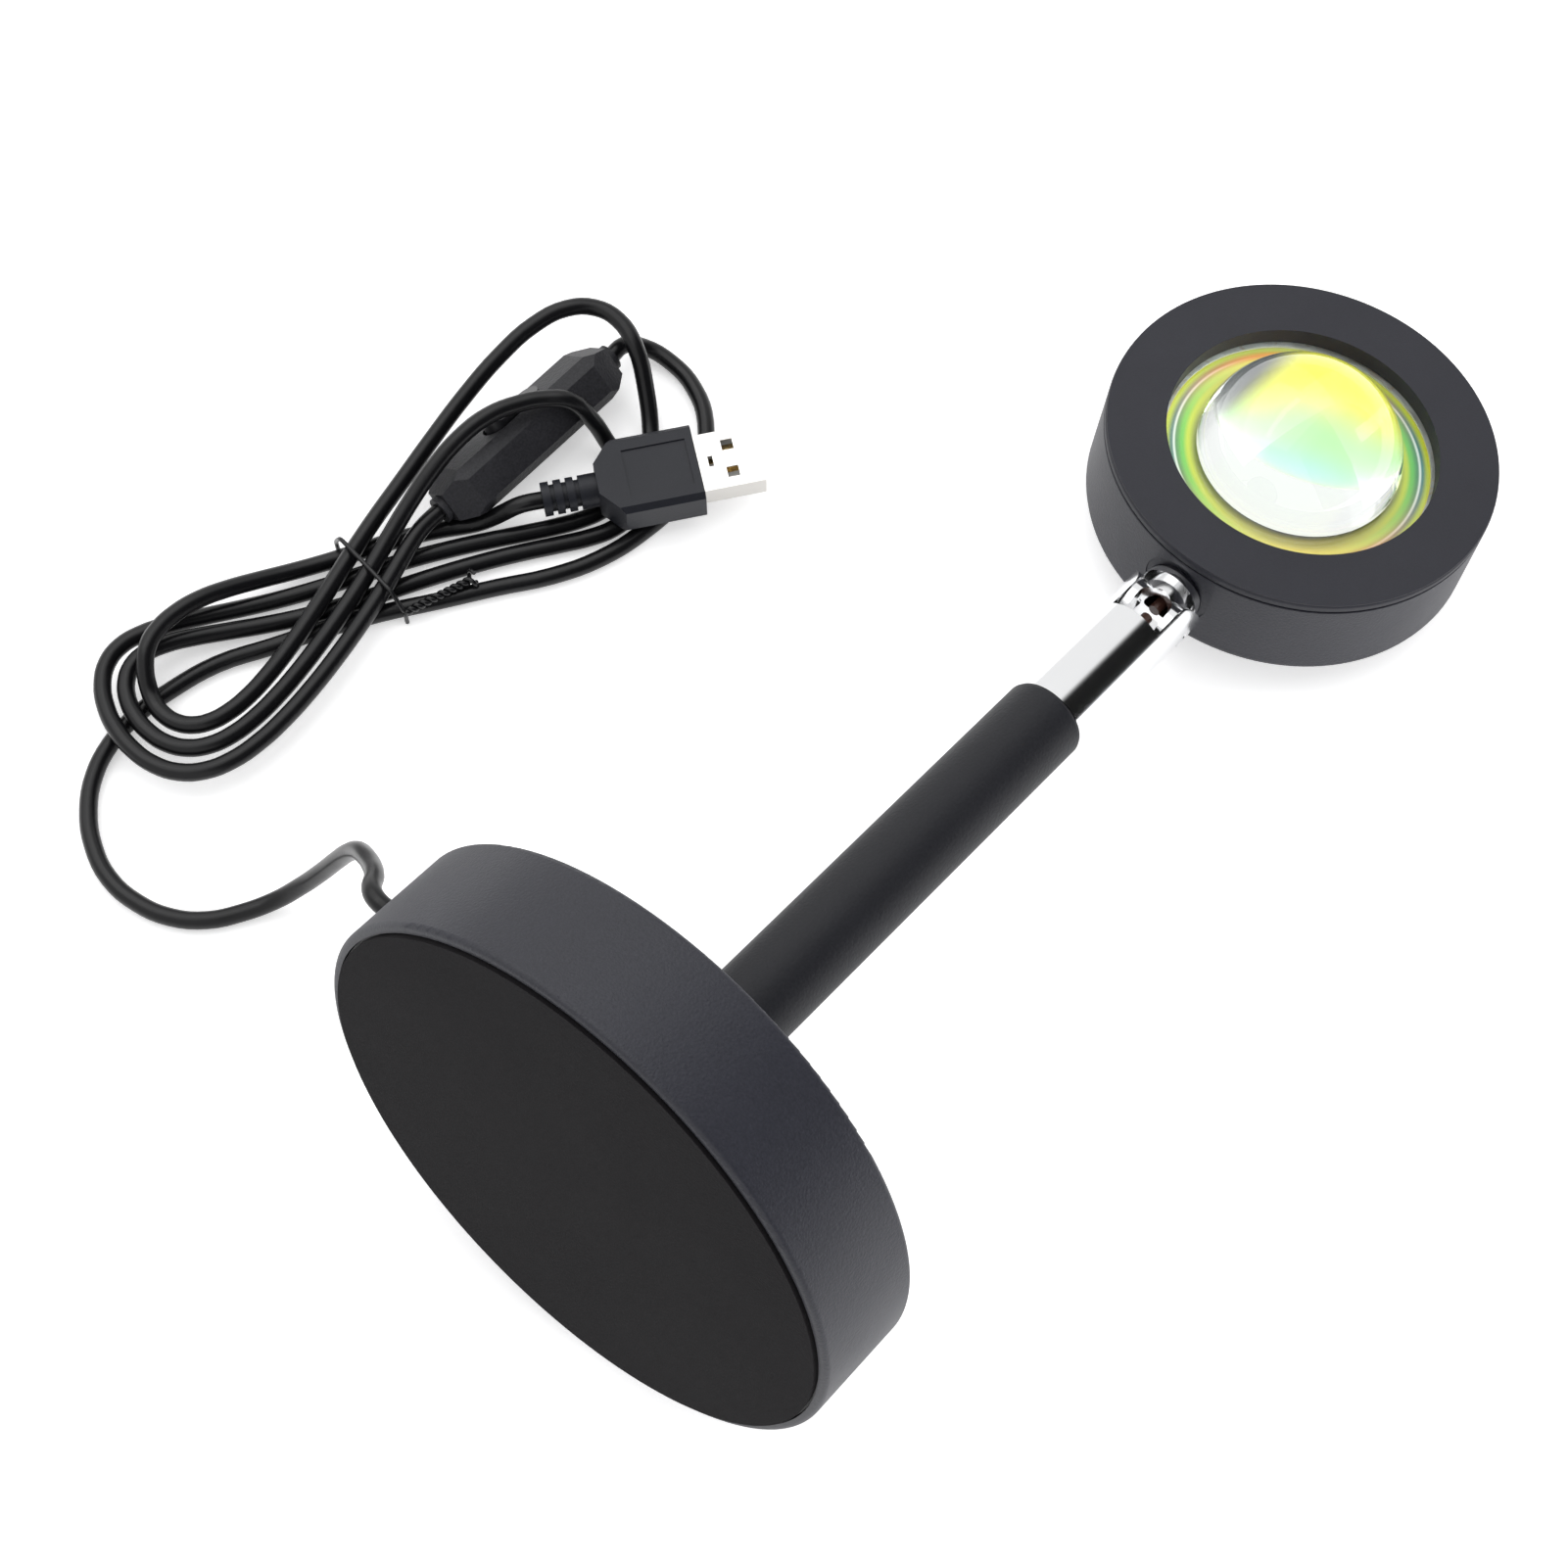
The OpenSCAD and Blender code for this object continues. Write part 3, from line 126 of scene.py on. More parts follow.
@dataclass(frozen=True)
class RestingPose:
    """Where the lamp, its switch and its plug lie, from the lamp's own sizes in millimetres."""

    base_d: float = 100.0
    base_h: float = 20.0
    base_edge: float = 1.0
    pivot_at: float = 151.0
    head_d: float = 72.0
    head_h: float = 19.6
    head_edge: float = 0.8
    head_gap: float = 7.8
    head_dip: float = 8.75
    cord_hole_h: float = 14.5
    cord_turn: float = 2.0
    grommet_t: float = 1.2
    pad_proud: float = 0.6
    pad_r: float = 48.1
    switch_at: tuple[float, float] = (0.6, 115.2)
    switch_bearing: float = -2.0
    switch_end: float = 22.7
    switch_z: float = 6.41396
    plug_at: tuple[float, float] = (15.0, 85.0)
    plug_bearing: float = -36.7
    plug_z: float = 8.0
    plug_back: float = 29.3

    @property
    def rim_in(self) -> float:
        """Distance from the base's axis to the middle of its rounded rim."""
        return self.base_d / 2 - self.base_edge

    @property
    def arm(self) -> float:
        """Distance from the pivot to the head's middle."""
        return self.head_gap + self.head_d / 2

    @property
    def head_z(self) -> float:
        """Height of the head's middle over the ground."""
        dip = deg(self.head_dip)
        return (
            (self.head_h / 2 - self.head_edge) * math.cos(dip)
            + (self.head_d / 2 - self.head_edge) * math.sin(dip)
            + self.head_edge
        )

    @property
    def pivot_z(self) -> float:
        """Height of the tilt pivot over the ground."""
        return self.head_z + self.arm * math.sin(deg(self.head_dip))

    @property
    def lean(self) -> float:
        """Angle by which the stem falls from the base to the pivot, in degrees."""
        rim_along = self.pivot_at - self.base_h + self.base_edge
        reach = math.hypot(self.rim_in, rim_along)
        drop = math.acos((self.pivot_z - self.base_edge) / reach)
        return math.degrees(drop - math.atan2(rim_along, self.rim_in))

    @property
    def foot_z(self) -> float:
        """Height of the middle of the base's underside."""
        lean = deg(self.lean)
        rise = (self.base_h - self.base_edge) * math.sin(lean)
        return rise + self.rim_in * math.cos(lean) + self.base_edge

    @property
    def middle(self) -> float:
        """Place along X of the middle of the lamp's box, from the base's underside."""
        lean, dip = deg(self.lean), deg(self.head_dip)
        low = min(
            self.base_edge * math.cos(lean) - self.rim_in * math.sin(lean) - self.base_edge,
            -self.pad_proud * math.cos(lean) - self.pad_r * math.sin(lean),
        )
        head_x = self.pivot_at * math.cos(lean) + self.arm * math.cos(dip)
        high = (
            head_x
            + (self.head_d / 2 - self.head_edge) * math.cos(dip)
            + (self.head_h / 2 - self.head_edge) * math.sin(dip)
            + self.head_edge
        )
        return (low + high) / 2

    def head_middle(self) -> Vector:
        """Returns the head's middle in millimetres."""
        pivot_x = self.pivot_at * math.cos(deg(self.lean)) - self.middle
        return Vector((pivot_x + self.arm * math.cos(deg(self.head_dip)), 0, self.head_z))

    def cord_exit(self) -> tuple[Vector, Vector]:
        """Returns where the cord leaves the grommet and its direction there, in millimetres."""
        lean, turn = deg(self.lean), deg(self.cord_turn)
        across = math.sin(turn)
        way = Vector((across * math.sin(lean), math.cos(turn), across * math.cos(lean)))
        hole_x = self.cord_hole_h * math.cos(lean) - self.middle
        hole = Vector((hole_x, 0, self.foot_z - self.cord_hole_h * math.sin(lean)))
        return hole + (self.base_d / 2 + self.grommet_t) * way, way

    def switch_ends(self) -> tuple[Vector, Vector]:
        """Returns the two points where the cord meets the switch, in millimetres."""
        mid = Vector((*self.switch_at, self.switch_z))
        step = bearing(self.switch_bearing, self.switch_end)
        return mid - step, mid + step

    def plug_entry(self) -> Vector:
        """Returns the point where the cord meets the plug's strain relief, in millimetres."""
        mid = Vector((*self.plug_at, self.plug_z))
        return mid - bearing(self.plug_bearing, self.plug_back)


# ---------------------------------------------------------------- helpers for nodes and meshes


class Wiring:
    """Adds and joins nodes in one node tree."""

    def __init__(self, tree: bpy.types.NodeTree) -> None:
        """Keeps the tree that the nodes go into."""
        self.tree = tree

    def plug(self, value: object, socket: Socket) -> None:
        """Gives an input socket a value, or links it to another node's socket.

        Args:
            value: A value or an output socket.
            socket: The input socket.
        """
        if isinstance(value, Socket):
            self.tree.links.new(value, socket)
        else:
            socket.default_value = value

    def feed(self, node: Node, **values: object) -> None:
        """Sets a node's properties and inputs.

        Args:
            node: The node.
            values: A property by its name, or an input by its name with spaces as underscores.
                An input takes a value or another node's socket.
        """
        for name, value in values.items():
            label = name.replace("_", " ")
            if label in node.inputs:
                self.plug(value, node.inputs[label])
            else:
                setattr(node, name, value)

    def add(self, kind: str, **values: object) -> Node:
        """Adds a node and feeds it.

        Args:
            kind: The node's type name.
            values: Its properties and inputs, as in feed.

        Returns:
            The new node.
        """
        node = self.tree.nodes.new(kind)
        self.feed(node, **values)
        return node

    def place(self) -> Socket:
        """Returns the object coordinates' socket."""
        return self.add("ShaderNodeTexCoord").outputs["Object"]

    def math(self, operation: str, a: object, b: object) -> Socket:
        """Adds a math node on two sockets or numbers.

        Args:
            operation: The node's operation.
            a: A socket or a number.
            b: A socket or a number.

        Returns:
            The result's socket.
        """
        node = self.add("ShaderNodeMath", operation=operation)
        self.plug(a, node.inputs[0])
        self.plug(b, node.inputs[1])
        return node.outputs[0]

    def ramp(self, factor: Socket, stops: Stops) -> Socket:
        """Adds a colour ramp whose colours ease into each other.

        Args:
            factor: The socket that drives it.
            stops: Places and colours, in order.

        Returns:
            The colour's socket.
        """
        node = self.add("ShaderNodeValToRGB", Fac=factor)
        band = node.color_ramp
        band.interpolation = "EASE"
        for element, (place, colour) in zip(band.elements, (stops[0], stops[-1])):
            element.position, element.color = place, (*colour, 1)
        for place, colour in stops[1:-1]:
            band.elements.new(place).color = (*colour, 1)
        return node.outputs[0]

    def mix(self, share: Socket, a: object, b: object) -> Socket:
        """Mixes two colours, each a socket or fixed.

        Args:
            share: The share of the second colour.
            a: The first colour.
            b: The second colour.

        Returns:
            The mixed colour's socket.
        """
        node = self.add("ShaderNodeMix", data_type="RGBA", Factor=share)
        for slot, value in ((MIX_A, a), (MIX_B, b)):
            self.plug((*value, 1) if isinstance(value, tuple) else value, node.inputs[slot])
        return node.outputs[MIX_RESULT]

    def blend(self, share: Socket, a: Node, b: Node) -> Socket:
        """Mixes the shaders of two nodes.

        Args:
            share: The share of the second shader.
            a: The first shader's node.
            b: The second shader's node.

        Returns:
            The mixed shader's socket.
        """
        node = self.add("ShaderNodeMixShader")
        for slot, source in enumerate((share, a.outputs[0], b.outputs[0])):
            self.plug(source, node.inputs[slot])
        return node.outputs[0]

    def seen(self) -> Socket:
        """Returns a socket that is 1 for rays from the camera, off gloss and through glass."""
        path = self.add("ShaderNodeLightPath").outputs
        seen = self.math("MAXIMUM", path["Is Camera Ray"], path["Is Glossy Ray"])
        return self.math("MAXIMUM", seen, path["Is Transmission Ray"])


def surface(name: str) -> tuple[Material, Wiring, Node]:
    """Makes a material with nodes.

    Args:
        name: The material's name.

    Returns:
        The material, its wiring and its Principled node.
    """
    material = bpy.data.materials.new(name)
    material.use_nodes = True
    return material, Wiring(material.node_tree), material.node_tree.nodes["Principled BSDF"]


def bare_surface(name: str) -> tuple[Material, Wiring]:
    """Makes a material whose node tree is empty.

    Args:
        name: The material's name.

    Returns:
        The material and its wiring.
    """
    material, sheet, _ = surface(name)
    material.node_tree.nodes.clear()
    return material, sheet


def show(name: str, data: bpy.types.ID) -> Item:
    """Makes an object from its data and puts it in the scene.

    Args:
        name: The object's name.
        data: Its mesh, curve, camera or light.

    Returns:
        The new object.
    """
    item = bpy.data.objects.new(name, data)
    bpy.context.scene.collection.objects.link(item)
    return item


def aim(item: Item, place: Place, way: Vector) -> None:
    """Places a camera or a lamp so that it looks along a direction.

    Args:
        item: The camera or lamp.
        place: Its place in metres.
        way: The direction.
    """
    item.location = place
    item.rotation_mode = "QUATERNION"
    item.rotation_quaternion = way.to_track_quat("-Z", "Y")


def piece_from(shape: bmesh.types.BMesh, name: str, smooth: bool = False) -> Item:
    """Turns a bmesh into a linked object at the origin and frees it.

    Args:
        shape: The finished bmesh, in metres.
        name: The object's name.
        smooth: Whether its faces are shaded smooth.

    Returns:
        The new object.
    """
    mesh = bpy.data.meshes.new(name)
    shape.to_mesh(mesh)
    shape.free()
    if smooth:
        mesh.shade_smooth()
    return show(name, mesh)


# ---------------------------------------------------------------- camera and studio


@dataclass(frozen=True)
class StudioCamera:
    """The photograph's viewpoint, high over the base's near side."""

    place: Place = (-0.178395, -0.10274, 0.47814)
    yaw: float = 40.76
    pitch: float = 66.39
    lens: float = 66.7
    sensor: float = 36.0
    nearest: float = 0.01

    def build(self) -> None:
        """Makes the camera and sets it as the scene's own."""
        pitch = deg(self.pitch)
        forward = bearing(self.yaw, math.cos(pitch)) - Vector((0, 0, math.sin(pitch)))
        data = bpy.data.cameras.new("studio_camera")
        data.lens = self.lens
        data.sensor_width = self.sensor
        data.clip_start = self.nearest
        camera = show("studio_camera", data)
        aim(camera, self.place, forward)
        bpy.context.scene.camera = camera


@dataclass(frozen=True)
class SoftBox:
    """An oblong area lamp that looks at the middle of the lamp on show."""

    name: str
    place: Place
    wide: float
    high: float
    power: float
    mirrored: bool = True

    def build(self) -> None:
        """Makes the lamp and aims it at the origin."""
        data = bpy.data.lights.new(self.name, "AREA")
        data.shape = "RECTANGLE"
        data.size = self.wide
        data.size_y = self.high
        data.energy = self.power
        lamp = show(self.name, data)
        aim(lamp, self.place, -Vector(self.place))
        lamp.visible_glossy = self.mirrored


@dataclass(frozen=True)
class Studio:
    """Pale floor, white surroundings, four soft lamps and a dark card for the chrome."""

    lamps: tuple[SoftBox, ...] = (
        SoftBox("key_softbox", (0.05, 0.75, 1.25), 1.83, 1.83, 10.5),
        SoftBox("fill_softbox", (0.75, -0.35, 1.0), 0.98, 0.98, 3.2, mirrored=False),
        SoftBox("strip_light", (0.05, 0.62, 1.15), 1.2, 0.13, 1.0),
        SoftBox("low_softbox", (0.35, -1.15, 0.32), 0.6, 0.6, 9.0, mirrored=False),
    )
    world_light: float = 0.62
    floor_side: float = 6.0
    floor_tone: Colour = (0.93, 0.93, 0.935)
    floor_lift: float = 0.42
    card_x: tuple[float, float] = (-0.6, 2.4)
    card_foot: tuple[float, float] = (-1.25, 0.02)
    card_head: tuple[float, float] = (-0.18, 1.7)
    card_tone: Colour = (0.012, 0.012, 0.012)
    card_fade: float = 0.68

    def build(self) -> None:
        """Makes the whole studio."""
        self._world()
        self._floor()
        self._dark_card()
        for lamp in self.lamps:
            lamp.build()
        bpy.context.scene.view_settings.view_transform = "Standard"

    def _world(self) -> None:
        """Makes the surroundings: white where the camera, gloss or glass looks, softer as light."""
        world = bpy.data.worlds.new("white_room")
        world.use_nodes = True
        bpy.context.scene.world = world
        sheet = Wiring(world.node_tree)
        world.node_tree.nodes.clear()
        light, white = (
            sheet.add("ShaderNodeBackground", Color=(*WHITE, 1), Strength=strength)
            for strength in (self.world_light, 1.0)
        )
        sheet.add("ShaderNodeOutputWorld", Surface=sheet.blend(sheet.seen(), light, white))

    def _floor(self) -> None:
        """Makes the pale sheet that everything lies on."""
        shape = bmesh.new()
        bmesh.ops.create_grid(shape, x_segments=1, y_segments=1, size=self.floor_side / 2)
        floor = piece_from(shape, "white_floor")
        material, sheet = bare_surface("white_sweep")
        matt = sheet.add("ShaderNodeBsdfDiffuse", Color=(*self.floor_tone, 1))
        lift = sheet.add("ShaderNodeEmission", Color=(*WHITE, 1), Strength=self.floor_lift)
        both = sheet.add("ShaderNodeAddShader")
        sheet.plug(matt.outputs[0], both.inputs[0])
        sheet.plug(lift.outputs[0], both.inputs[1])
        sheet.add("ShaderNodeOutputMaterial", Surface=sheet.blend(sheet.seen(), matt, both))
        floor.data.materials.append(material)

    def _dark_card(self) -> None:
        """Makes the sheet that the chrome mirrors: dark low down, fading to white at its head."""
        shape = bmesh.new()
        foot, head = (
            [shape.verts.new((x, y, z)) for x in self.card_x]
            for y, z in (self.card_foot, self.card_head)
        )
        shape.faces.new((*foot, *reversed(head)))
        card = piece_from(shape, "dark_card")
        material, sheet = bare_surface("fading_card")
        height = sheet.add("ShaderNodeSeparateXYZ", Vector=sheet.place()).outputs["Z"]
        share = sheet.math("DIVIDE", height, self.card_head[1])
        stops = ((0.0, self.card_tone), (self.card_fade, self.card_tone), (1.0, WHITE))
        glow = sheet.add("ShaderNodeEmission", Strength=1.0, Color=sheet.ramp(share, stops))
        sheet.add("ShaderNodeOutputMaterial", Surface=glow.outputs[0])
        card.data.materials.append(material)
        card.visible_camera = False
        card.visible_diffuse = False
        card.visible_shadow = False
        card.visible_transmission = False


# ---------------------------------------------------------------- shared node groups


def group(
    name: str,
    inputs: Sequence[tuple[str, str, object]],
    output: tuple[str, str],
) -> tuple[Wiring, bpy.types.NodeOutputs, Node]:
    """Makes a shader node group that is still empty, with named sockets.

    Args:
        name: The group's name.
        inputs: Name, kind and default of each input, after the vector.
        output: Name and kind of the output.

    Returns:
        The group's wiring, the sockets that come in and the output node.
    """
    tree = bpy.data.node_groups.new(name, "ShaderNodeTree")
    tree.interface.new_socket(name="Vector", in_out="INPUT", socket_type=VECTOR)
    for label, kind, default in inputs:
        socket = tree.interface.new_socket(name=label, in_out="INPUT", socket_type=kind)
        socket.default_value = default
    tree.interface.new_socket(name=output[0], in_out="OUTPUT", socket_type=output[1])
    sheet = Wiring(tree)
    return sheet, sheet.add("NodeGroupInput").outputs, sheet.add("NodeGroupOutput")


def pebble_group() -> bpy.types.NodeTree:
    """Makes the grain of powder coat and moulded plastic: rounded pebbles over a slow swell.

    Returns:
        The group's tree.
    """
    sheet, given, end = group(
        "pebble_grain",
        [("Scale", FLOAT, 1500.0), ("Swell", FLOAT, 0.35)],
        ("Height", FLOAT),
    )
    cells, fine, slow = (
        sheet.add(
            kind,
            Vector=given["Vector"],
            Scale=sheet.math("MULTIPLY", given["Scale"], size_share),
            **looks,
        )
        for kind, size_share, looks in (
            ("ShaderNodeTexVoronoi", 1.0, {"feature": "SMOOTH_F1", "Smoothness": 0.6}),
            ("ShaderNodeTexNoise", 1.35, {"Detail": 3.0, "Roughness": 0.55}),
            ("ShaderNodeTexNoise", 0.22, {"Detail": 2.0, "Roughness": 0.5}),
        )
    )
    bump = sheet.math("MULTIPLY", sheet.math("SUBTRACT", 1.0, cells.outputs["Distance"]), 0.5)
    grain = sheet.math("ADD", bump, fine.outputs[0])
    swell = sheet.math("MULTIPLY", slow.outputs[0], given["Swell"])
    sheet.feed(end, Height=sheet.math("ADD", grain, swell))
    return sheet.tree


def drift_group() -> bpy.types.NodeTree:
    """Makes a slow change from one colour to another, with fine speckle on top.

    Returns:
        The group's tree.
    """
    grey = (0.5, 0.5, 0.5, 1)
    sheet, given, end = group(
        "tone_drift",
        [
            ("Scale", FLOAT, 60.0),
            ("Speckle Scale", FLOAT, 2400.0),
            ("Speckle", FLOAT, 0.3),
            ("Tone A", COLOUR, grey),
            ("Tone B", COLOUR, grey),
        ],
        ("Color", COLOUR),
    )
    noise, place = "ShaderNodeTexNoise", given["Vector"]
    slow = sheet.add(noise, Detail=3.0, Roughness=0.6, Vector=place, Scale=given["Scale"])
    fine = sheet.add(noise, Detail=1.0, Vector=place, Scale=given["Speckle Scale"])
    speckle = sheet.math("SUBTRACT", fine.outputs[0], 0.5)
    speckle = sheet.math("MULTIPLY", sheet.math("MULTIPLY", speckle, given["Speckle"]), 2.0)
    share = sheet.math("ADD", slow.outputs[0], speckle)
    share = sheet.math("MINIMUM", sheet.math("MAXIMUM", share, 0.0), 1.0)
    sheet.feed(end, Color=sheet.mix(share, given["Tone A"], given["Tone B"]))
    return sheet.tree


def handling_group() -> bpy.types.NodeTree:
    """Makes the uneven gloss that handling leaves.

    Returns:
        The group's tree.
    """
    sheet, given, end = group(
        "handling_marks",
        [("Scale", FLOAT, 45.0), ("Low", FLOAT, 0.3), ("High", FLOAT, 0.5)],
        ("Roughness", FLOAT),
    )
    smear = sheet.add("ShaderNodeTexNoise", Detail=4.0, Roughness=0.65, Distortion=0.6)
    sheet.feed(smear, Vector=given["Vector"], Scale=given["Scale"])
    span = sheet.math("SUBTRACT", given["High"], given["Low"])
    rise = sheet.math("MULTIPLY", span, smear.outputs[0])
    sheet.feed(end, Roughness=sheet.math("ADD", given["Low"], rise))
    return sheet.tree


def lathe_group() -> bpy.types.NodeTree:
    """Makes fine turning lines round an axis, for machined and plated parts.

    Returns:
        The group's tree.
    """
    sheet, given, end = group(
        "turning_lines",
        [("Scale", FLOAT, 900.0), ("Waver", FLOAT, 0.4)],
        ("Height", FLOAT),
    )
    wave = sheet.add("ShaderNodeTexWave", wave_type="RINGS", rings_direction="Z", Detail=2.0)
    sheet.feed(wave, Vector=given["Vector"], Scale=given["Scale"], Distortion=given["Waver"])
    sheet.feed(end, Height=wave.outputs["Fac"])
    return sheet.tree


class Effects:
    """Builds each shared node group once and hands it to the finishes."""

    def __init__(self) -> None:
        """Makes the four groups."""
        self.pebble = pebble_group()
        self.drift = drift_group()
        self.handling = handling_group()
        self.lathe = lathe_group()


# ---------------------------------------------------------------- finishes


class Grain(Enum):
    """What gives a finish its small relief."""

    PEBBLE = "pebble"
    TURNED = "turned"
    NONE = "none"


class Coating:
    """What every finish has: a name, a range of roughness and its own way to be painted."""

    name: str
    gloss: tuple[float, float]

    def build(self, effects: Effects) -> Material:
        """Makes the material, with the handling marks in its gloss.

        Args:
            effects: The shared node groups.

        Returns:
            The finished material.
        """
        material, sheet, shader = surface(self.name)
        place = sheet.place()
        low, high = self.gloss
        marks = sheet.add("ShaderNodeGroup", node_tree=effects.handling, Vector=place, Low=low, High=high)
        sheet.feed(shader, Roughness=marks.outputs["Roughness"])
        self.paint(sheet, shader, place, effects)
        return material

    def paint(self, sheet: Wiring, shader: Node, place: Socket, effects: Effects) -> None:
        """Wires what is the finish's own.

        Args:
            sheet: The material's wiring.
            shader: Its Principled node.
            place: The object coordinates.
            effects: The shared node groups.
        """
        raise NotImplementedError


@dataclass(frozen=True)
class Finish(Coating):
    """One surface finish and how strongly each effect works in it."""

    name: str
    tone_a: Colour
    tone_b: Colour
    gloss: tuple[float, float]
    metallic: float = 0.0
    grain: Grain = Grain.PEBBLE
    grain_scale: float = 1500.0
    grain_depth: float = 0.00006
    grain_strength: float = 0.5
    swell: float = 0.35
    drift_scale: float = 60.0
    speckle: float = 0.3
    coat: float = 0.0
    coat_roughness: float = 0.2
    specular: float = 0.5
    sheen: float = 0.0

    def paint(self, sheet: Wiring, shader: Node, place: Socket, effects: Effects) -> None:
        """Wires the drifting tone, the plain values and the grain.

        Args:
            sheet: The material's wiring.
            shader: Its Principled node.
            place: The object coordinates.
            effects: The shared node groups.
        """
        tone = sheet.add(
            "ShaderNodeGroup",
            node_tree=effects.drift,
            Vector=place,
            Scale=self.drift_scale,
            Speckle=self.speckle,
            Tone_A=(*self.tone_a, 1),
            Tone_B=(*self.tone_b, 1),
        )
        sheet.feed(
            shader,
            Base_Color=tone.outputs["Color"],
            Metallic=self.metallic,
            Coat_Weight=self.coat,
            Coat_Roughness=self.coat_roughness,
            Specular_IOR_Level=self.specular,
            Sheen_Weight=self.sheen,
        )
        if self.grain is not Grain.NONE:
            sheet.feed(shader, Normal=self._relief(sheet, place, effects))

    def _relief(self, sheet: Wiring, place: Socket, effects: Effects) -> Socket:
        """Adds the grain's bump.

        Args:
            sheet: The material's wiring.
            place: The object coordinates.
            effects: The shared node groups.

        Returns:
            The bumped normal's socket.
        """
        pebbled = self.grain is Grain.PEBBLE
        tree = effects.pebble if pebbled else effects.lathe
        relief = sheet.add("ShaderNodeGroup", node_tree=tree, Vector=place, Scale=self.grain_scale)
        if pebbled:
            sheet.feed(relief, Swell=self.swell)
        bump = sheet.add("ShaderNodeBump", Strength=self.grain_strength, Distance=self.grain_depth)
        sheet.feed(bump, Height=relief.outputs["Height"])
        return bump.outputs[0]


@dataclass(frozen=True)
class LensGlass(Coating):
    """Clear polished glass that lets lamp light through to what lies under it."""

    name: str = "polished_lens_glass"
    tint: Colour = (0.97, 1.0, 0.98)
    ior: float = 1.47
    gloss: tuple[float, float] = (0.0, 0.012)

    def paint(self, sheet: Wiring, shader: Node, place: Socket, effects: Effects) -> None:
        """Wires the glass, clear for shadow rays.

        Args:
            sheet: The material's wiring.
            shader: Its Principled node.
            place: The object coordinates, not used here.
            effects: The shared node groups, not used here.
        """
        tint = (*self.tint, 1)
        sheet.feed(shader, Base_Color=tint, Transmission_Weight=1.0, IOR=self.ior)
        clear = sheet.add("ShaderNodeBsdfTransparent", Color=tint)
        shadow = sheet.add("ShaderNodeLightPath").outputs["Is Shadow Ray"]
        sheet.feed(sheet.tree.nodes["Material Output"], Surface=sheet.blend(shadow, shader, clear))


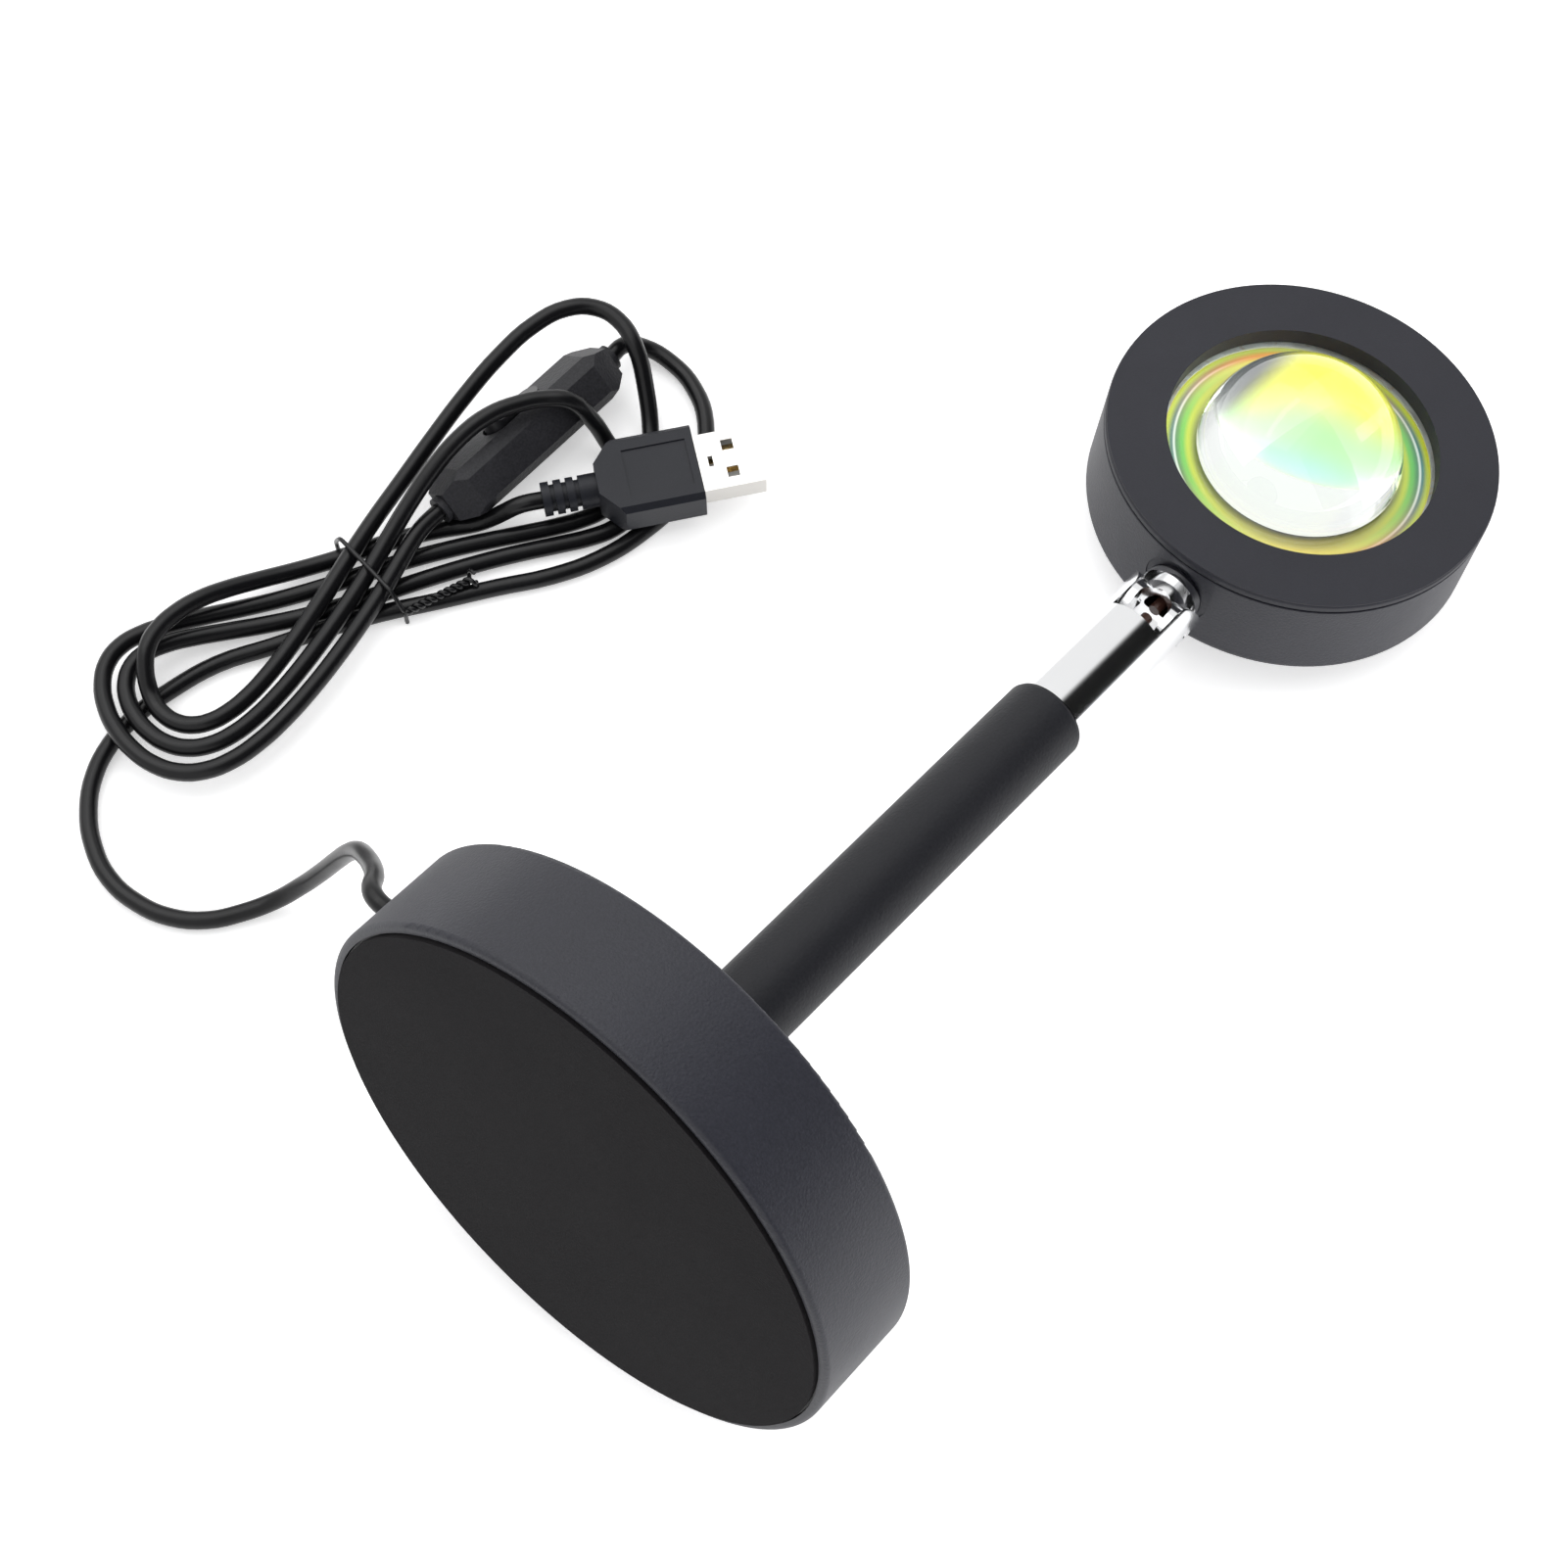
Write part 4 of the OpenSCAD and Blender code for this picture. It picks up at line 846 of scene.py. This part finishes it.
@dataclass(frozen=True)
class DichroicFilm(Coating):
    """Coloured film on the filter glass: yellow at its far side, through green, to cyan and a pale end that
    is a painted reflection, with a dark crescent of painted shade, a white spot of painted highlight and a
    painted glow.
    """

    pose: RestingPose
    name: str = "dichroic_film"
    radius: float = 26.4
    gloss: tuple[float, float] = (0.12, 0.2)
    specular: float = 0.2
    # Painted glow: the film gives off light in its own colours, though it is no lamp.
    glow: float = 0.12
    run_bearing: float = 27.0
    run_slope: float = 0.52
    run_start: float = 0.36
    wave_scale: float = 1.6
    wave_detail: float = 1.5
    wave_reach: float = 0.16
    rings_turn: float = -77.0
    least_radius: float = 0.01
    # Painted shade: a dark crescent across the film, at a turn from the run of colours.
    painted_shade_turn: float = 50.0
    painted_shade_slope: float = 1.6
    painted_shade: Colour = (0.10, 0.10, 0.11)
    painted_shade_zone: Stops = ((0.0, BLACK), (0.50, BLACK), (0.68, WHITE), (1.0, WHITE))
    # Painted highlight: a small white spot at the film's middle.
    painted_highlight: Colour = (0.90, 0.95, 0.97)
    painted_highlight_zone: Stops = ((0.0, WHITE), (0.035, WHITE), (0.13, BLACK), (1.0, BLACK))
    rings_zone: Stops = ((0.0, BLACK), (0.66, BLACK), (0.70, WHITE), (1.0, WHITE))
    # Run of the film's colours, cyan through green to yellow; its pale first stop is a painted reflection
    # of the white room.
    across: Stops = (
        (0.02, (0.70, 0.84, 0.87)), (0.20, (0.24, 0.72, 0.82)), (0.40, (0.26, 0.74, 0.60)),
        (0.52, (0.36, 0.74, 0.30)), (0.66, (0.80, 0.76, 0.06)), (0.90, (0.82, 0.66, 0.05)),
    )
    side_rings: Stops = (
        (0.69, (0.05, 0.07, 0.07)), (0.73, (0.16, 0.20, 0.05)), (0.78, (0.50, 0.58, 0.04)),
        (0.82, (0.10, 0.50, 0.08)), (0.86, (0.04, 0.24, 0.10)), (0.875, (0.75, 0.85, 0.80)),
        (0.89, (0.02, 0.20, 0.20)), (0.93, (0.60, 0.66, 0.05)), (0.97, (0.75, 0.42, 0.06)),
    )
    far_rings: Stops = (
        (0.69, (0.06, 0.06, 0.07)), (0.76, (0.36, 0.30, 0.08)), (0.84, (0.78, 0.62, 0.12)),
        (0.885, (0.80, 0.30, 0.06)), (0.93, (0.55, 0.60, 0.16)), (0.97, (0.30, 0.16, 0.06)),
    )

    def paint(self, sheet: Wiring, shader: Node, place: Socket, effects: Effects) -> None:
        """Wires a run of colours across the disc, ringed at the rim, with painted shade, a painted
        highlight and a painted glow over it.

        Args:
            sheet: The material's wiring.
            shader: Its Principled node.
            place: The object coordinates.
            effects: The shared node groups, not used here.
        """
        local = sheet.add(
            "ShaderNodeMapping",
            vector_type="POINT",
            Vector=place,
            Location=self.pose.head_middle() / -self.radius,
            Scale=(1 / (self.radius * MM),) * 3,
        ).outputs[0]
        radius = sheet.add("ShaderNodeVectorMath", operation="LENGTH", Vector=local).outputs["Value"]
        face = sheet.ramp(self._run(sheet, local), self.across)
        # Painted shade: the dark crescent is mixed over the film's colours.
        painted_shade_run = sheet.math("MULTIPLY", self._along(sheet, local, self.painted_shade_turn), self.painted_shade_slope)
        face = sheet.mix(sheet.ramp(painted_shade_run, self.painted_shade_zone), face, self.painted_shade)
        # Painted highlight: the white spot at the film's middle.
        face = sheet.mix(sheet.ramp(radius, self.painted_highlight_zone), face, self.painted_highlight)
        rings = self._rings(sheet, local, radius)
        face = sheet.mix(sheet.ramp(radius, self.rings_zone), face, rings)
        # The emission is painted glow: the film's colours shine, though the film is no lamp.
        sheet.feed(
            shader,
            Base_Color=face,
            Emission_Color=face,
            Emission_Strength=self.glow,
            Specular_IOR_Level=self.specular,
        )

    def _run(self, sheet: Wiring, local: Socket) -> Socket:
        """Adds the way across the film's colours, with a slow wave in it.

        Args:
            sheet: The material's wiring.
            local: The place from the film's middle, in film radii.

        Returns:
            The socket of the share of the way.
        """
        wave = sheet.add("ShaderNodeTexNoise", Scale=self.wave_scale, Detail=self.wave_detail, Vector=local)
        run = sheet.math("MULTIPLY", self._along(sheet, local, 0), self.run_slope)
        run = sheet.math("ADD", run, sheet.math("MULTIPLY", wave.outputs[0], self.wave_reach))
        return sheet.math("ADD", run, self.run_start)

    def _rings(self, sheet: Wiring, local: Socket, radius: Socket) -> Socket:
        """Adds the rings at the rim, which differ between the sides and the far end.

        Args:
            sheet: The material's wiring.
            local: The place from the film's middle, in film radii.
            radius: The distance from the film's middle, in film radii.

        Returns:
            The rings' colour socket.
        """
        aside = self._along(sheet, local, self.rings_turn)
        aside = sheet.math("DIVIDE", aside, sheet.math("MAXIMUM", radius, self.least_radius))
        aside = sheet.math("MULTIPLY", aside, aside)
        return sheet.mix(aside, sheet.ramp(radius, self.far_rings), sheet.ramp(radius, self.side_rings))

    def _along(self, sheet: Wiring, local: Socket, turn: float) -> Socket:
        """Adds how far a place lies along a bearing across the film.

        Args:
            sheet: The material's wiring.
            local: The place from the film's middle, in film radii.
            turn: Angle in degrees from the bearing of the run of colours.

        Returns:
            The distance's socket, in film radii.
        """
        dot = sheet.add("ShaderNodeVectorMath", operation="DOT_PRODUCT", Vector=local)
        dot.inputs[1].default_value = bearing(self.run_bearing + turn)
        return dot.outputs["Value"]


FINISHES: dict[str, Coating] = {
    "powder_coat": Finish(
        "black_powder_coat", (0.0110, 0.0114, 0.0170), (0.0230, 0.0238, 0.0330), (0.42, 0.54),
        grain_scale=2100, grain_depth=0.00010, grain_strength=0.6,
        drift_scale=22, speckle=0.55, specular=0.42,
    ),
    "sleeve_coat": Finish(
        "matt_sleeve_coat", (0.0065, 0.0068, 0.0092), (0.0120, 0.0124, 0.0160), (0.48, 0.58),
        grain_depth=0.00012, drift_scale=22, speckle=0.5, specular=0.30,
    ),
    "lid_coat": Finish(
        "satin_lid_paint", (0.0125, 0.0128, 0.0185), (0.0175, 0.0180, 0.0255), (0.50, 0.60),
        grain_scale=2600, grain_depth=0.00005, grain_strength=0.4, specular=0.40,
    ),
    "foam": Finish(
        "closed_cell_foam", (0.0042, 0.0036, 0.0046), (0.0072, 0.0064, 0.0076), (0.88, 0.96),
        grain_scale=2600, grain_depth=0.00016, speckle=0.8, specular=0.16, sheen=0.02,
    ),
    "plate_steel": Finish("primed_plate", (0.10, 0.10, 0.10), (0.13, 0.13, 0.13), (0.55, 0.7)),
    "ballast_iron": Finish(
        "cast_iron", (0.10, 0.10, 0.10), (0.16, 0.155, 0.15), (0.6, 0.8),
        metallic=1.0, grain_scale=700, grain_depth=0.0003,
    ),
    "soft_rubber": Finish(
        "black_rubber", (0.008, 0.008, 0.009), (0.013, 0.013, 0.014), (0.55, 0.7),
        grain_scale=2400, grain_depth=0.00004,
    ),
    "plated_steel": Finish(
        "zinc_plate", (0.62, 0.63, 0.65), (0.72, 0.73, 0.74), (0.24, 0.36),
        metallic=1.0, grain=Grain.TURNED, grain_scale=700, grain_depth=0.00002,
    ),
    "brass_insert": Finish(
        "turned_brass", (0.72, 0.52, 0.22), (0.82, 0.62, 0.30), (0.2, 0.34),
        metallic=1.0, grain=Grain.TURNED, grain_scale=700, grain_depth=0.00002,
    ),
    "chrome_plate": Finish(
        "bright_chrome", (0.80, 0.805, 0.815), (0.86, 0.865, 0.87), (0.11, 0.17),
        metallic=1.0, grain=Grain.NONE, speckle=0.0,
    ),
    "inner_lead": Finish(
        "brown_lead_jacket", (0.045, 0.018, 0.012), (0.070, 0.028, 0.018), (0.3, 0.4),
        grain_scale=1800, grain_depth=0.00003,
    ),
    "lens_glass": LensGlass(),
    "silicone": Finish(
        "clear_silicone", (0.55, 0.56, 0.56), (0.65, 0.66, 0.66), (0.35, 0.5),
        grain_depth=0.00002,
    ),
    "reflector_metal": Finish(
        "polished_reflector", (0.80, 0.81, 0.83), (0.88, 0.88, 0.9), (0.08, 0.16),
        metallic=1.0, grain=Grain.TURNED, grain_scale=500, grain_depth=0.00001,
    ),
    "sink_aluminium": Finish(
        "satin_aluminium", (0.62, 0.63, 0.65), (0.72, 0.73, 0.75), (0.35, 0.5),
        metallic=1.0, grain=Grain.TURNED, grain_scale=600, grain_depth=0.00002,
    ),
    "board_white": Finish(
        "white_solder_mask", (0.80, 0.80, 0.78), (0.88, 0.88, 0.86), (0.3, 0.42),
        grain_depth=0.00002,
    ),
    "phosphor": Finish(
        "phosphor_gel", (0.90, 0.76, 0.16), (0.95, 0.84, 0.26), (0.2, 0.3),
        grain_depth=0.00003, coat=0.4,
    ),
    "cord_jacket": Finish(
        "cord_jacket", (0.0035, 0.0035, 0.0042), (0.0060, 0.0060, 0.0068), (0.24, 0.34),
        grain_scale=900, grain_depth=0.00004, grain_strength=0.3, swell=0.8, specular=0.30,
    ),
    "tie_plastic": Finish(
        "wire_tie_jacket", (0.004, 0.004, 0.005), (0.008, 0.008, 0.009), (0.2, 0.3),
        grain_depth=0.00002, grain_strength=0.2, specular=0.35,
    ),
    "switch_plastic": Finish(
        "spark_eroded_plastic", (0.010, 0.010, 0.012), (0.022, 0.022, 0.026), (0.44, 0.58),
        grain_scale=1400, grain_depth=0.00014, grain_strength=0.65, speckle=0.9, specular=0.32,
    ),
    "rocker_plastic": Finish(
        "smooth_rocker_plastic", (0.006, 0.006, 0.008), (0.010, 0.010, 0.012), (0.26, 0.36),
        grain_scale=2600, grain_depth=0.00002, grain_strength=0.3, specular=0.45,
    ),
    "plug_plastic": Finish(
        "satin_plug_plastic", (0.0060, 0.0068, 0.0110), (0.0085, 0.0096, 0.0145), (0.42, 0.52),
        grain_scale=2400, grain_depth=0.00004, grain_strength=0.35, speckle=0.4, specular=0.34,
    ),
    "shell_metal": Finish(
        "plated_shell", (0.54, 0.525, 0.50), (0.60, 0.585, 0.56), (0.20, 0.28),
        metallic=1.0, grain=Grain.NONE, speckle=0.05,
    ),
    "tongue_plastic": Finish(
        "white_tongue", (0.72, 0.72, 0.70), (0.80, 0.80, 0.78), (0.4, 0.5),
        grain_depth=0.00002,
    ),
}


@dataclass(frozen=True)
class Palette:
    """Every finish of the lamp, by the name of the record's slot that wears it."""

    pose: RestingPose

    def build(self) -> dict[str, Material]:
        """Makes every material.

        Returns:
            The materials by slot name.
        """
        effects = Effects()
        finishes = {**FINISHES, "dichroic_glass": DichroicFilm(self.pose)}
        return {slot: finish.build(effects) for slot, finish in finishes.items()}


# ---------------------------------------------------------------- cords


@dataclass(frozen=True)
class Lobe:
    """One loop of the hank on one side of the tie, in millimetres and shares."""

    side: int
    reach: float
    fullness: float
    lift: float
    leave: float
    come: float
    rise: float
    rise_at: float
    skew: float


@dataclass
class HankRoute:
    """Route of the hank: from the switch, through five lobes crossed under the tie, to the plug."""

    pose: RestingPose
    tie: tuple[float, float] = (-39.9, 115.0)
    axis: float = -7.0
    cross_half: float = 21.0
    pitch: float = 3.9
    layer: float = 3.9
    ground: float = 1.7
    cord_d: float = 3.3
    rings: int = 22
    lobes: tuple[Lobe, ...] = (
        Lobe(-1, 54.5, 0.58, 6.9, -0.47, 1.13, 0.0, 0.5, -2.5),
        Lobe(1, 50.4, 0.16, -12.1, 1.13, 0.61, 12.0, 0.68, -3.7),
        Lobe(-1, 48.8, 0.57, 6.9, 0.61, -0.16, 0.0, 0.5, -1.8),
        Lobe(1, 64.5, 0.61, -5.6, -0.16, 1.82, 10.0, 0.6, -13.6),
        Lobe(-1, 45.6, 0.17, -0.2, 1.82, 2.36, 4.5, 0.67, -0.4),
    )
    climb_right: tuple[float, float] = (0.5, 0.9)
    climb_left: tuple[float, float] = (0.64, 0.94)
    rise_in: tuple[float, float] = (0.16, 0.03)
    rise_out: tuple[float, float] = (0.08, 0.32)
    run_in_pull: tuple[float, float] = (10.0, 12.0)
    run_in_steps: int = 5
    tail_pull: tuple[float, float] = (54.0, 15.0)
    tail_climb: float = 0.45
    tail_steps: int = 9

    @property
    def out_bearing(self) -> float:
        """Bearing of the strands that cross the tie at the bottom."""
        return self.axis - self.cross_half

    @property
    def back_bearing(self) -> float:
        """Bearing of the strands that cross the tie on top."""
        return self.axis + self.cross_half

    def lobe_point(self, lobe: Lobe, s: float) -> Vector:
        """Returns a point of a lobe.

        Args:
            lobe: The lobe.
            s: Share of its way, from 0 to 1.

        Returns:
            The point in millimetres.
        """
        swell = math.sin(math.pi * s) ** 2
        sway = math.sin(2 * math.pi * s)
        spread = lobe.reach * math.tan(deg(self.cross_half)) / 2 * (1 + lobe.fullness * swell)
        along = lobe.side * lobe.reach * math.sin(math.pi * s) + lobe.skew * sway * swell
        across = lobe.lift * swell - spread * sway
        leave, come = self.back_bearing, self.out_bearing
        climb = 1 - ease(s, *self.climb_left)
        if lobe.side > 0:
            leave, come = come, leave
            climb = ease(s, *self.climb_right)
        shift = self.pitch * (
            lobe.leave * math.cos(math.pi * s / 2) ** 2 * bearing(leave + 90)
            + lobe.come * math.sin(math.pi * s / 2) ** 2 * bearing(come + 90)
        )
        flat = Vector((*self.tie, 0)) + bearing(self.axis, along)
        flat += bearing(self.axis + 90, across) + shift
        up = ease(s, *(lobe.rise_at - share for share in self.rise_in))
        down = ease(s, *(lobe.rise_at + share for share in self.rise_out))
        flat.z = self.ground + self.layer * climb + lobe.rise * up * (1 - down)
        return flat

    def points(self) -> list[Vector]:
        """Returns the whole route in millimetres."""
        start, _ = self.pose.switch_ends()
        run_in = start - bearing(self.pose.switch_bearing, self.cord_d)
        first = self.lobe_point(self.lobes[0], 0)
        last = self.lobe_point(self.lobes[-1], 1)
        entry = self.pose.plug_entry()
        before = entry - bearing(self.pose.plug_bearing, self.cord_d)
        route = [start, run_in]
        leave = bearing(self.pose.switch_bearing, -self.run_in_pull[0])
        come = bearing(self.back_bearing, -self.run_in_pull[1])
        for i in range(1, self.run_in_steps):
            route.append(cubic(run_in, leave, first, come, i / self.run_in_steps))
        for lobe in self.lobes:
            route += [self.lobe_point(lobe, i / self.rings) for i in range(self.rings)]
        route.append(last)
        leave = bearing(self.out_bearing, self.tail_pull[0])
        come = bearing(self.pose.plug_bearing, self.tail_pull[1])
        for i in range(1, self.tail_steps):
            t = i / self.tail_steps
            point = cubic(last, leave, before, come, t)
            point.z = self.ground + (self.pose.plug_z - self.ground) * ease(t, self.tail_climb, 1)
            route.append(point)
        return [*route, before, entry]


@dataclass
class LeadRoute:
    """Route of the cord from the grommet down to the ground, under the hank and to the switch."""

    pose: RestingPose
    cord_d: float = 3.3
    points_on_way: tuple[Place, ...] = (
        (-93.3, 56.6, 50.8), (-90.7, 59.2, 47.3), (-88.6, 62.6, 42.5), (-87, 66.6, 37.5),
        (-86.1, 70.1, 32.5), (-86.3, 73.2, 27), (-87.4, 76, 21), (-89.4, 79.3, 13.8),
        (-92.4, 82.8, 7.2), (-96.5, 86, 3), (-101.4, 89.1, 1.8), (-106.4, 92.8, 1.7),
        (-110.2, 98, 1.7), (-112.2, 104.5, 1.7), (-112.2, 111.5, 1.7), (-109.8, 118, 1.7),
        (-105.5, 123.8, 1.7), (-100, 128, 1.7), (-94, 130.2, 1.7), (-87, 130.8, 1.7),
        (-79, 129.6, 1.7), (-70, 127, 1.7), (-61, 122, 1.7), (-52.4, 117.3, 1.7),
        (-43.2, 111.7, 1.7), (-34.2, 105.3, 1.7), (-25.2, 99.1, 1.7), (-16.9, 93.1, 1.7),
        (-8.4, 88.8, 1.7), (1, 86.5, 1.7), (10, 86.1, 1.7), (19, 88.2, 1.7),
        (26.2, 93.2, 1.7), (30.4, 99.8, 1.7), (31.8, 106.8, 1.8), (30.4, 112.5, 3.2),
    )

    def points(self) -> list[Vector]:
        """Returns the whole route in millimetres."""
        start, way = self.pose.cord_exit()
        _, end = self.pose.switch_ends()
        after = end + bearing(self.pose.switch_bearing, self.cord_d)
        middle = [Vector(p) for p in self.points_on_way]
        return [start, start + self.cord_d * way, *middle, after, end]


def tube_curve(name: str, route: Sequence[Vector], diameter: float, material: Material) -> Item:
    """Makes a round cord as a curve of one open spline.

    Args:
        name: The piece's name.
        route: Its points in millimetres.
        diameter: Its diameter in millimetres.
        material: Its finish.

    Returns:
        The curve object.
    """
    data = bpy.data.curves.new(name, "CURVE")
    data.dimensions = "3D"
    data.bevel_depth = diameter / 2 * MM
    data.bevel_resolution = TUBE_BEVEL
    data.resolution_u = TUBE_RUN
    data.use_fill_caps = True
    spline = data.splines.new("BEZIER")
    spline.bezier_points.add(len(route) - 1)
    for point, place in zip(spline.bezier_points, route):
        point.co = place * MM
        point.handle_left_type = point.handle_right_type = "AUTO"
    data.materials.append(material)
    return show(name, data)


def bent(corners: Sequence[Vector], reach: float) -> list[Vector]:
    """Rounds the corners of straight runs.

    Args:
        corners: The runs' corners and ends.
        reach: Length over which each corner is rounded, on either side.

    Returns:
        The points of the rounded runs.
    """
    points = [corners[0]]
    for before, corner, after in zip(corners, corners[1:], corners[2:]):
        a = corner + reach * (before - corner).normalized()
        b = corner + reach * (after - corner).normalized()
        for i in range(CORNER_STEPS + 1):
            t = i / CORNER_STEPS
            points.append((1 - t) ** 2 * a + 2 * t * (1 - t) * corner + t * t * b)
    return [*points, corners[-1]]


@dataclass
class WireTie:
    """Coated wire tie: a hoop fitted over the bundle's strands, and its two ends twisted together."""

    route: HankRoute
    wire: float = 0.85
    gap: float = 0.4
    tail: float = 14.5
    tail_turn: float = 12.0
    tail_lift: float = 0.25
    lead_under: float = -5.2
    bend: float = 1.2
    twist: float = 0.42
    twisted_at: float = 0.08
    splay: float = 1.3
    splay_at: float = 0.9
    turns: float = 5.5
    turn_steps: int = 10

    def hoop(self) -> list[Vector]:
        """Returns the corners of the hoop in the tie's own place, X along the bundle."""
        r = self.route
        slant = math.cos(deg(r.cross_half))
        cord, wire = r.cord_d / 2, self.wire / 2
        room = cord / slant + self.gap + wire
        foot_out = r.pitch * r.lobes[-1].come / slant + room
        foot_in = self.lead_under - room
        top_out = r.pitch * r.lobes[-1].leave / slant + room
        top_in = r.pitch * r.lobes[0].leave / slant - room
        top_z = r.ground + r.layer + cord + self.gap + wire
        side_z = r.ground + cord + self.gap / 2 + wire
        return [
            Vector((0, foot_out, wire)),
            Vector((0, foot_out, side_z)),
            Vector((0, top_out, top_z)),
            Vector((0, top_in, top_z)),
            Vector((0, foot_in, side_z)),
        ]

    def strand(self, start: Vector, half_turn: float) -> list[Vector]:
        """Returns one strand of the twisted tail.

        Args:
            start: Where the tail starts.
            half_turn: Angle in degrees at which this strand starts.

        Returns:
            The strand's points.
        """
        way = bearing(-self.tail_turn)
        side = bearing(90 - self.tail_turn)
        steps = int(self.turns * self.turn_steps)
        points = []
        for i in range(1, steps + 1):
            t = i / steps
            angle = deg(half_turn) + 2 * math.pi * self.turns * t
            radius = self.twist * ease(t, 0, self.twisted_at) + self.splay * ease(t, self.splay_at, 1)
            lift = Vector((0, 0, self.tail_lift + radius * math.sin(angle)))
            points.append(start + self.tail * t * way + radius * math.cos(angle) * side + lift)
        return points

    def build(self, material: Material) -> Item:
        """Makes the tie as one mesh.

        Args:
            material: Its finish.

        Returns:
            The tie's object.
        """
        hoop = self.hoop()
        knot = hoop[-1]
        foot = Vector((0, knot.y, self.wire / 2))
        over = bent([*hoop, knot + bearing(-self.tail_turn, self.bend)], self.bend)[:-2]
        runs = [
            [*over, *self.strand(knot, 90)],
            [foot, foot + (knot - foot) / 2, *self.strand(knot, 270)],
        ]
        turn = Matrix.Rotation(deg(self.route.axis), 4, "Z")
        place = Matrix.Translation(Vector((*self.route.tie, 0))) @ turn
        graph = bpy.context.evaluated_depsgraph_get()
        shape = bmesh.new()
        for run in runs:
            part = tube_curve("tie_run", [place @ point for point in run], self.wire, material)
            graph.update()
            shape.from_mesh(bpy.data.meshes.new_from_object(part.evaluated_get(graph)))
            bpy.data.objects.remove(part)
        bmesh.ops.recalc_face_normals(shape, faces=shape.faces)
        tie = piece_from(shape, "hank_wire_tie", smooth=True)
        tie.data.materials.append(material)
        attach(tie, "base")
        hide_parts("hank_tie")
        return tie


@dataclass
class CordSet:
    """Both stretches of the cord and the wire tie that holds the hank."""

    pose: RestingPose
    materials: dict[str, Material]
    frame: dict[str, object]
    cord_d: float = 3.3
    lead_pieces: tuple[str, ...] = (
        "cord_grommet", "switch_lower", "switch_upper", "switch_rocker", "switch_contacts",
    )
    plug_pieces: tuple[str, ...] = ("plug_grip", "plug_shell", "plug_tongue", "plug_contacts")

    def build(self) -> None:
        lead_route = LeadRoute(self.pose, self.cord_d).points()
        hank_way = HankRoute(self.pose, cord_d=self.cord_d)
        hank_route = hank_way.points()
        jacket = self.materials["cord_jacket"]
        lead = tube_curve("cord_lead_round", lead_route, self.cord_d, jacket)
        hank = tube_curve("cord_hank_round", hank_route, self.cord_d, jacket)
        for cord, node in ((lead, "cord_lead"), (hank, "cord_hank")):
            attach(cord, "base")
            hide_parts(node)
        tie = WireTie(hank_way).build(self.materials["tie_plastic"])


# ---------------------------------------------------------------- dressing of the CAD nodes


@dataclass
class CadDressing:
    """Gives every CAD node the finish of its slot, or one of its own."""

    frame: dict[str, object]
    materials: dict[str, Material]
    own: dict[str, str] = field(default_factory=lambda: {"stem_sleeve": "sleeve_coat"})

    def build(self) -> None:
        """Replaces the plain material in each node's slots."""
        for name, item in self.frame["nodes"].items():
            slot = self.own.get(name, self._slot_of(item))
            if slot in self.materials:
                self._dress(item, self.materials[slot])
                LOG.info("%s wears %s", name, self.materials[slot].name)
            elif slot:
                LOG.warning("node %s has no finish, its slot is %s", name, slot)

    def _slot_of(self, item: Item) -> str:
        """Returns the name of the slot that a node came with."""
        names = [m.name.split(".")[0] for m in item.data.materials if m]
        return names[0] if names else ""

    def _dress(self, item: Item, material: Material) -> None:
        """Puts one material in all of a node's slots.

        Args:
            item: The node's object.
            material: The material.
        """
        if not item.material_slots:
            item.data.materials.append(material)
        for slot in item.material_slots:
            slot.material = material


def main() -> None:
    """Builds the camera, the cords, the studio and every finish."""
    logging.basicConfig(level=logging.INFO, format="%(name)s: %(message)s")
    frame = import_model()
    pose = RestingPose()
    StudioCamera().build()
    materials = Palette(pose).build()
    CordSet(pose, materials, frame).build()
    Studio().build()
    CadDressing(frame, materials).build()


if __name__ == "__main__":
    main()
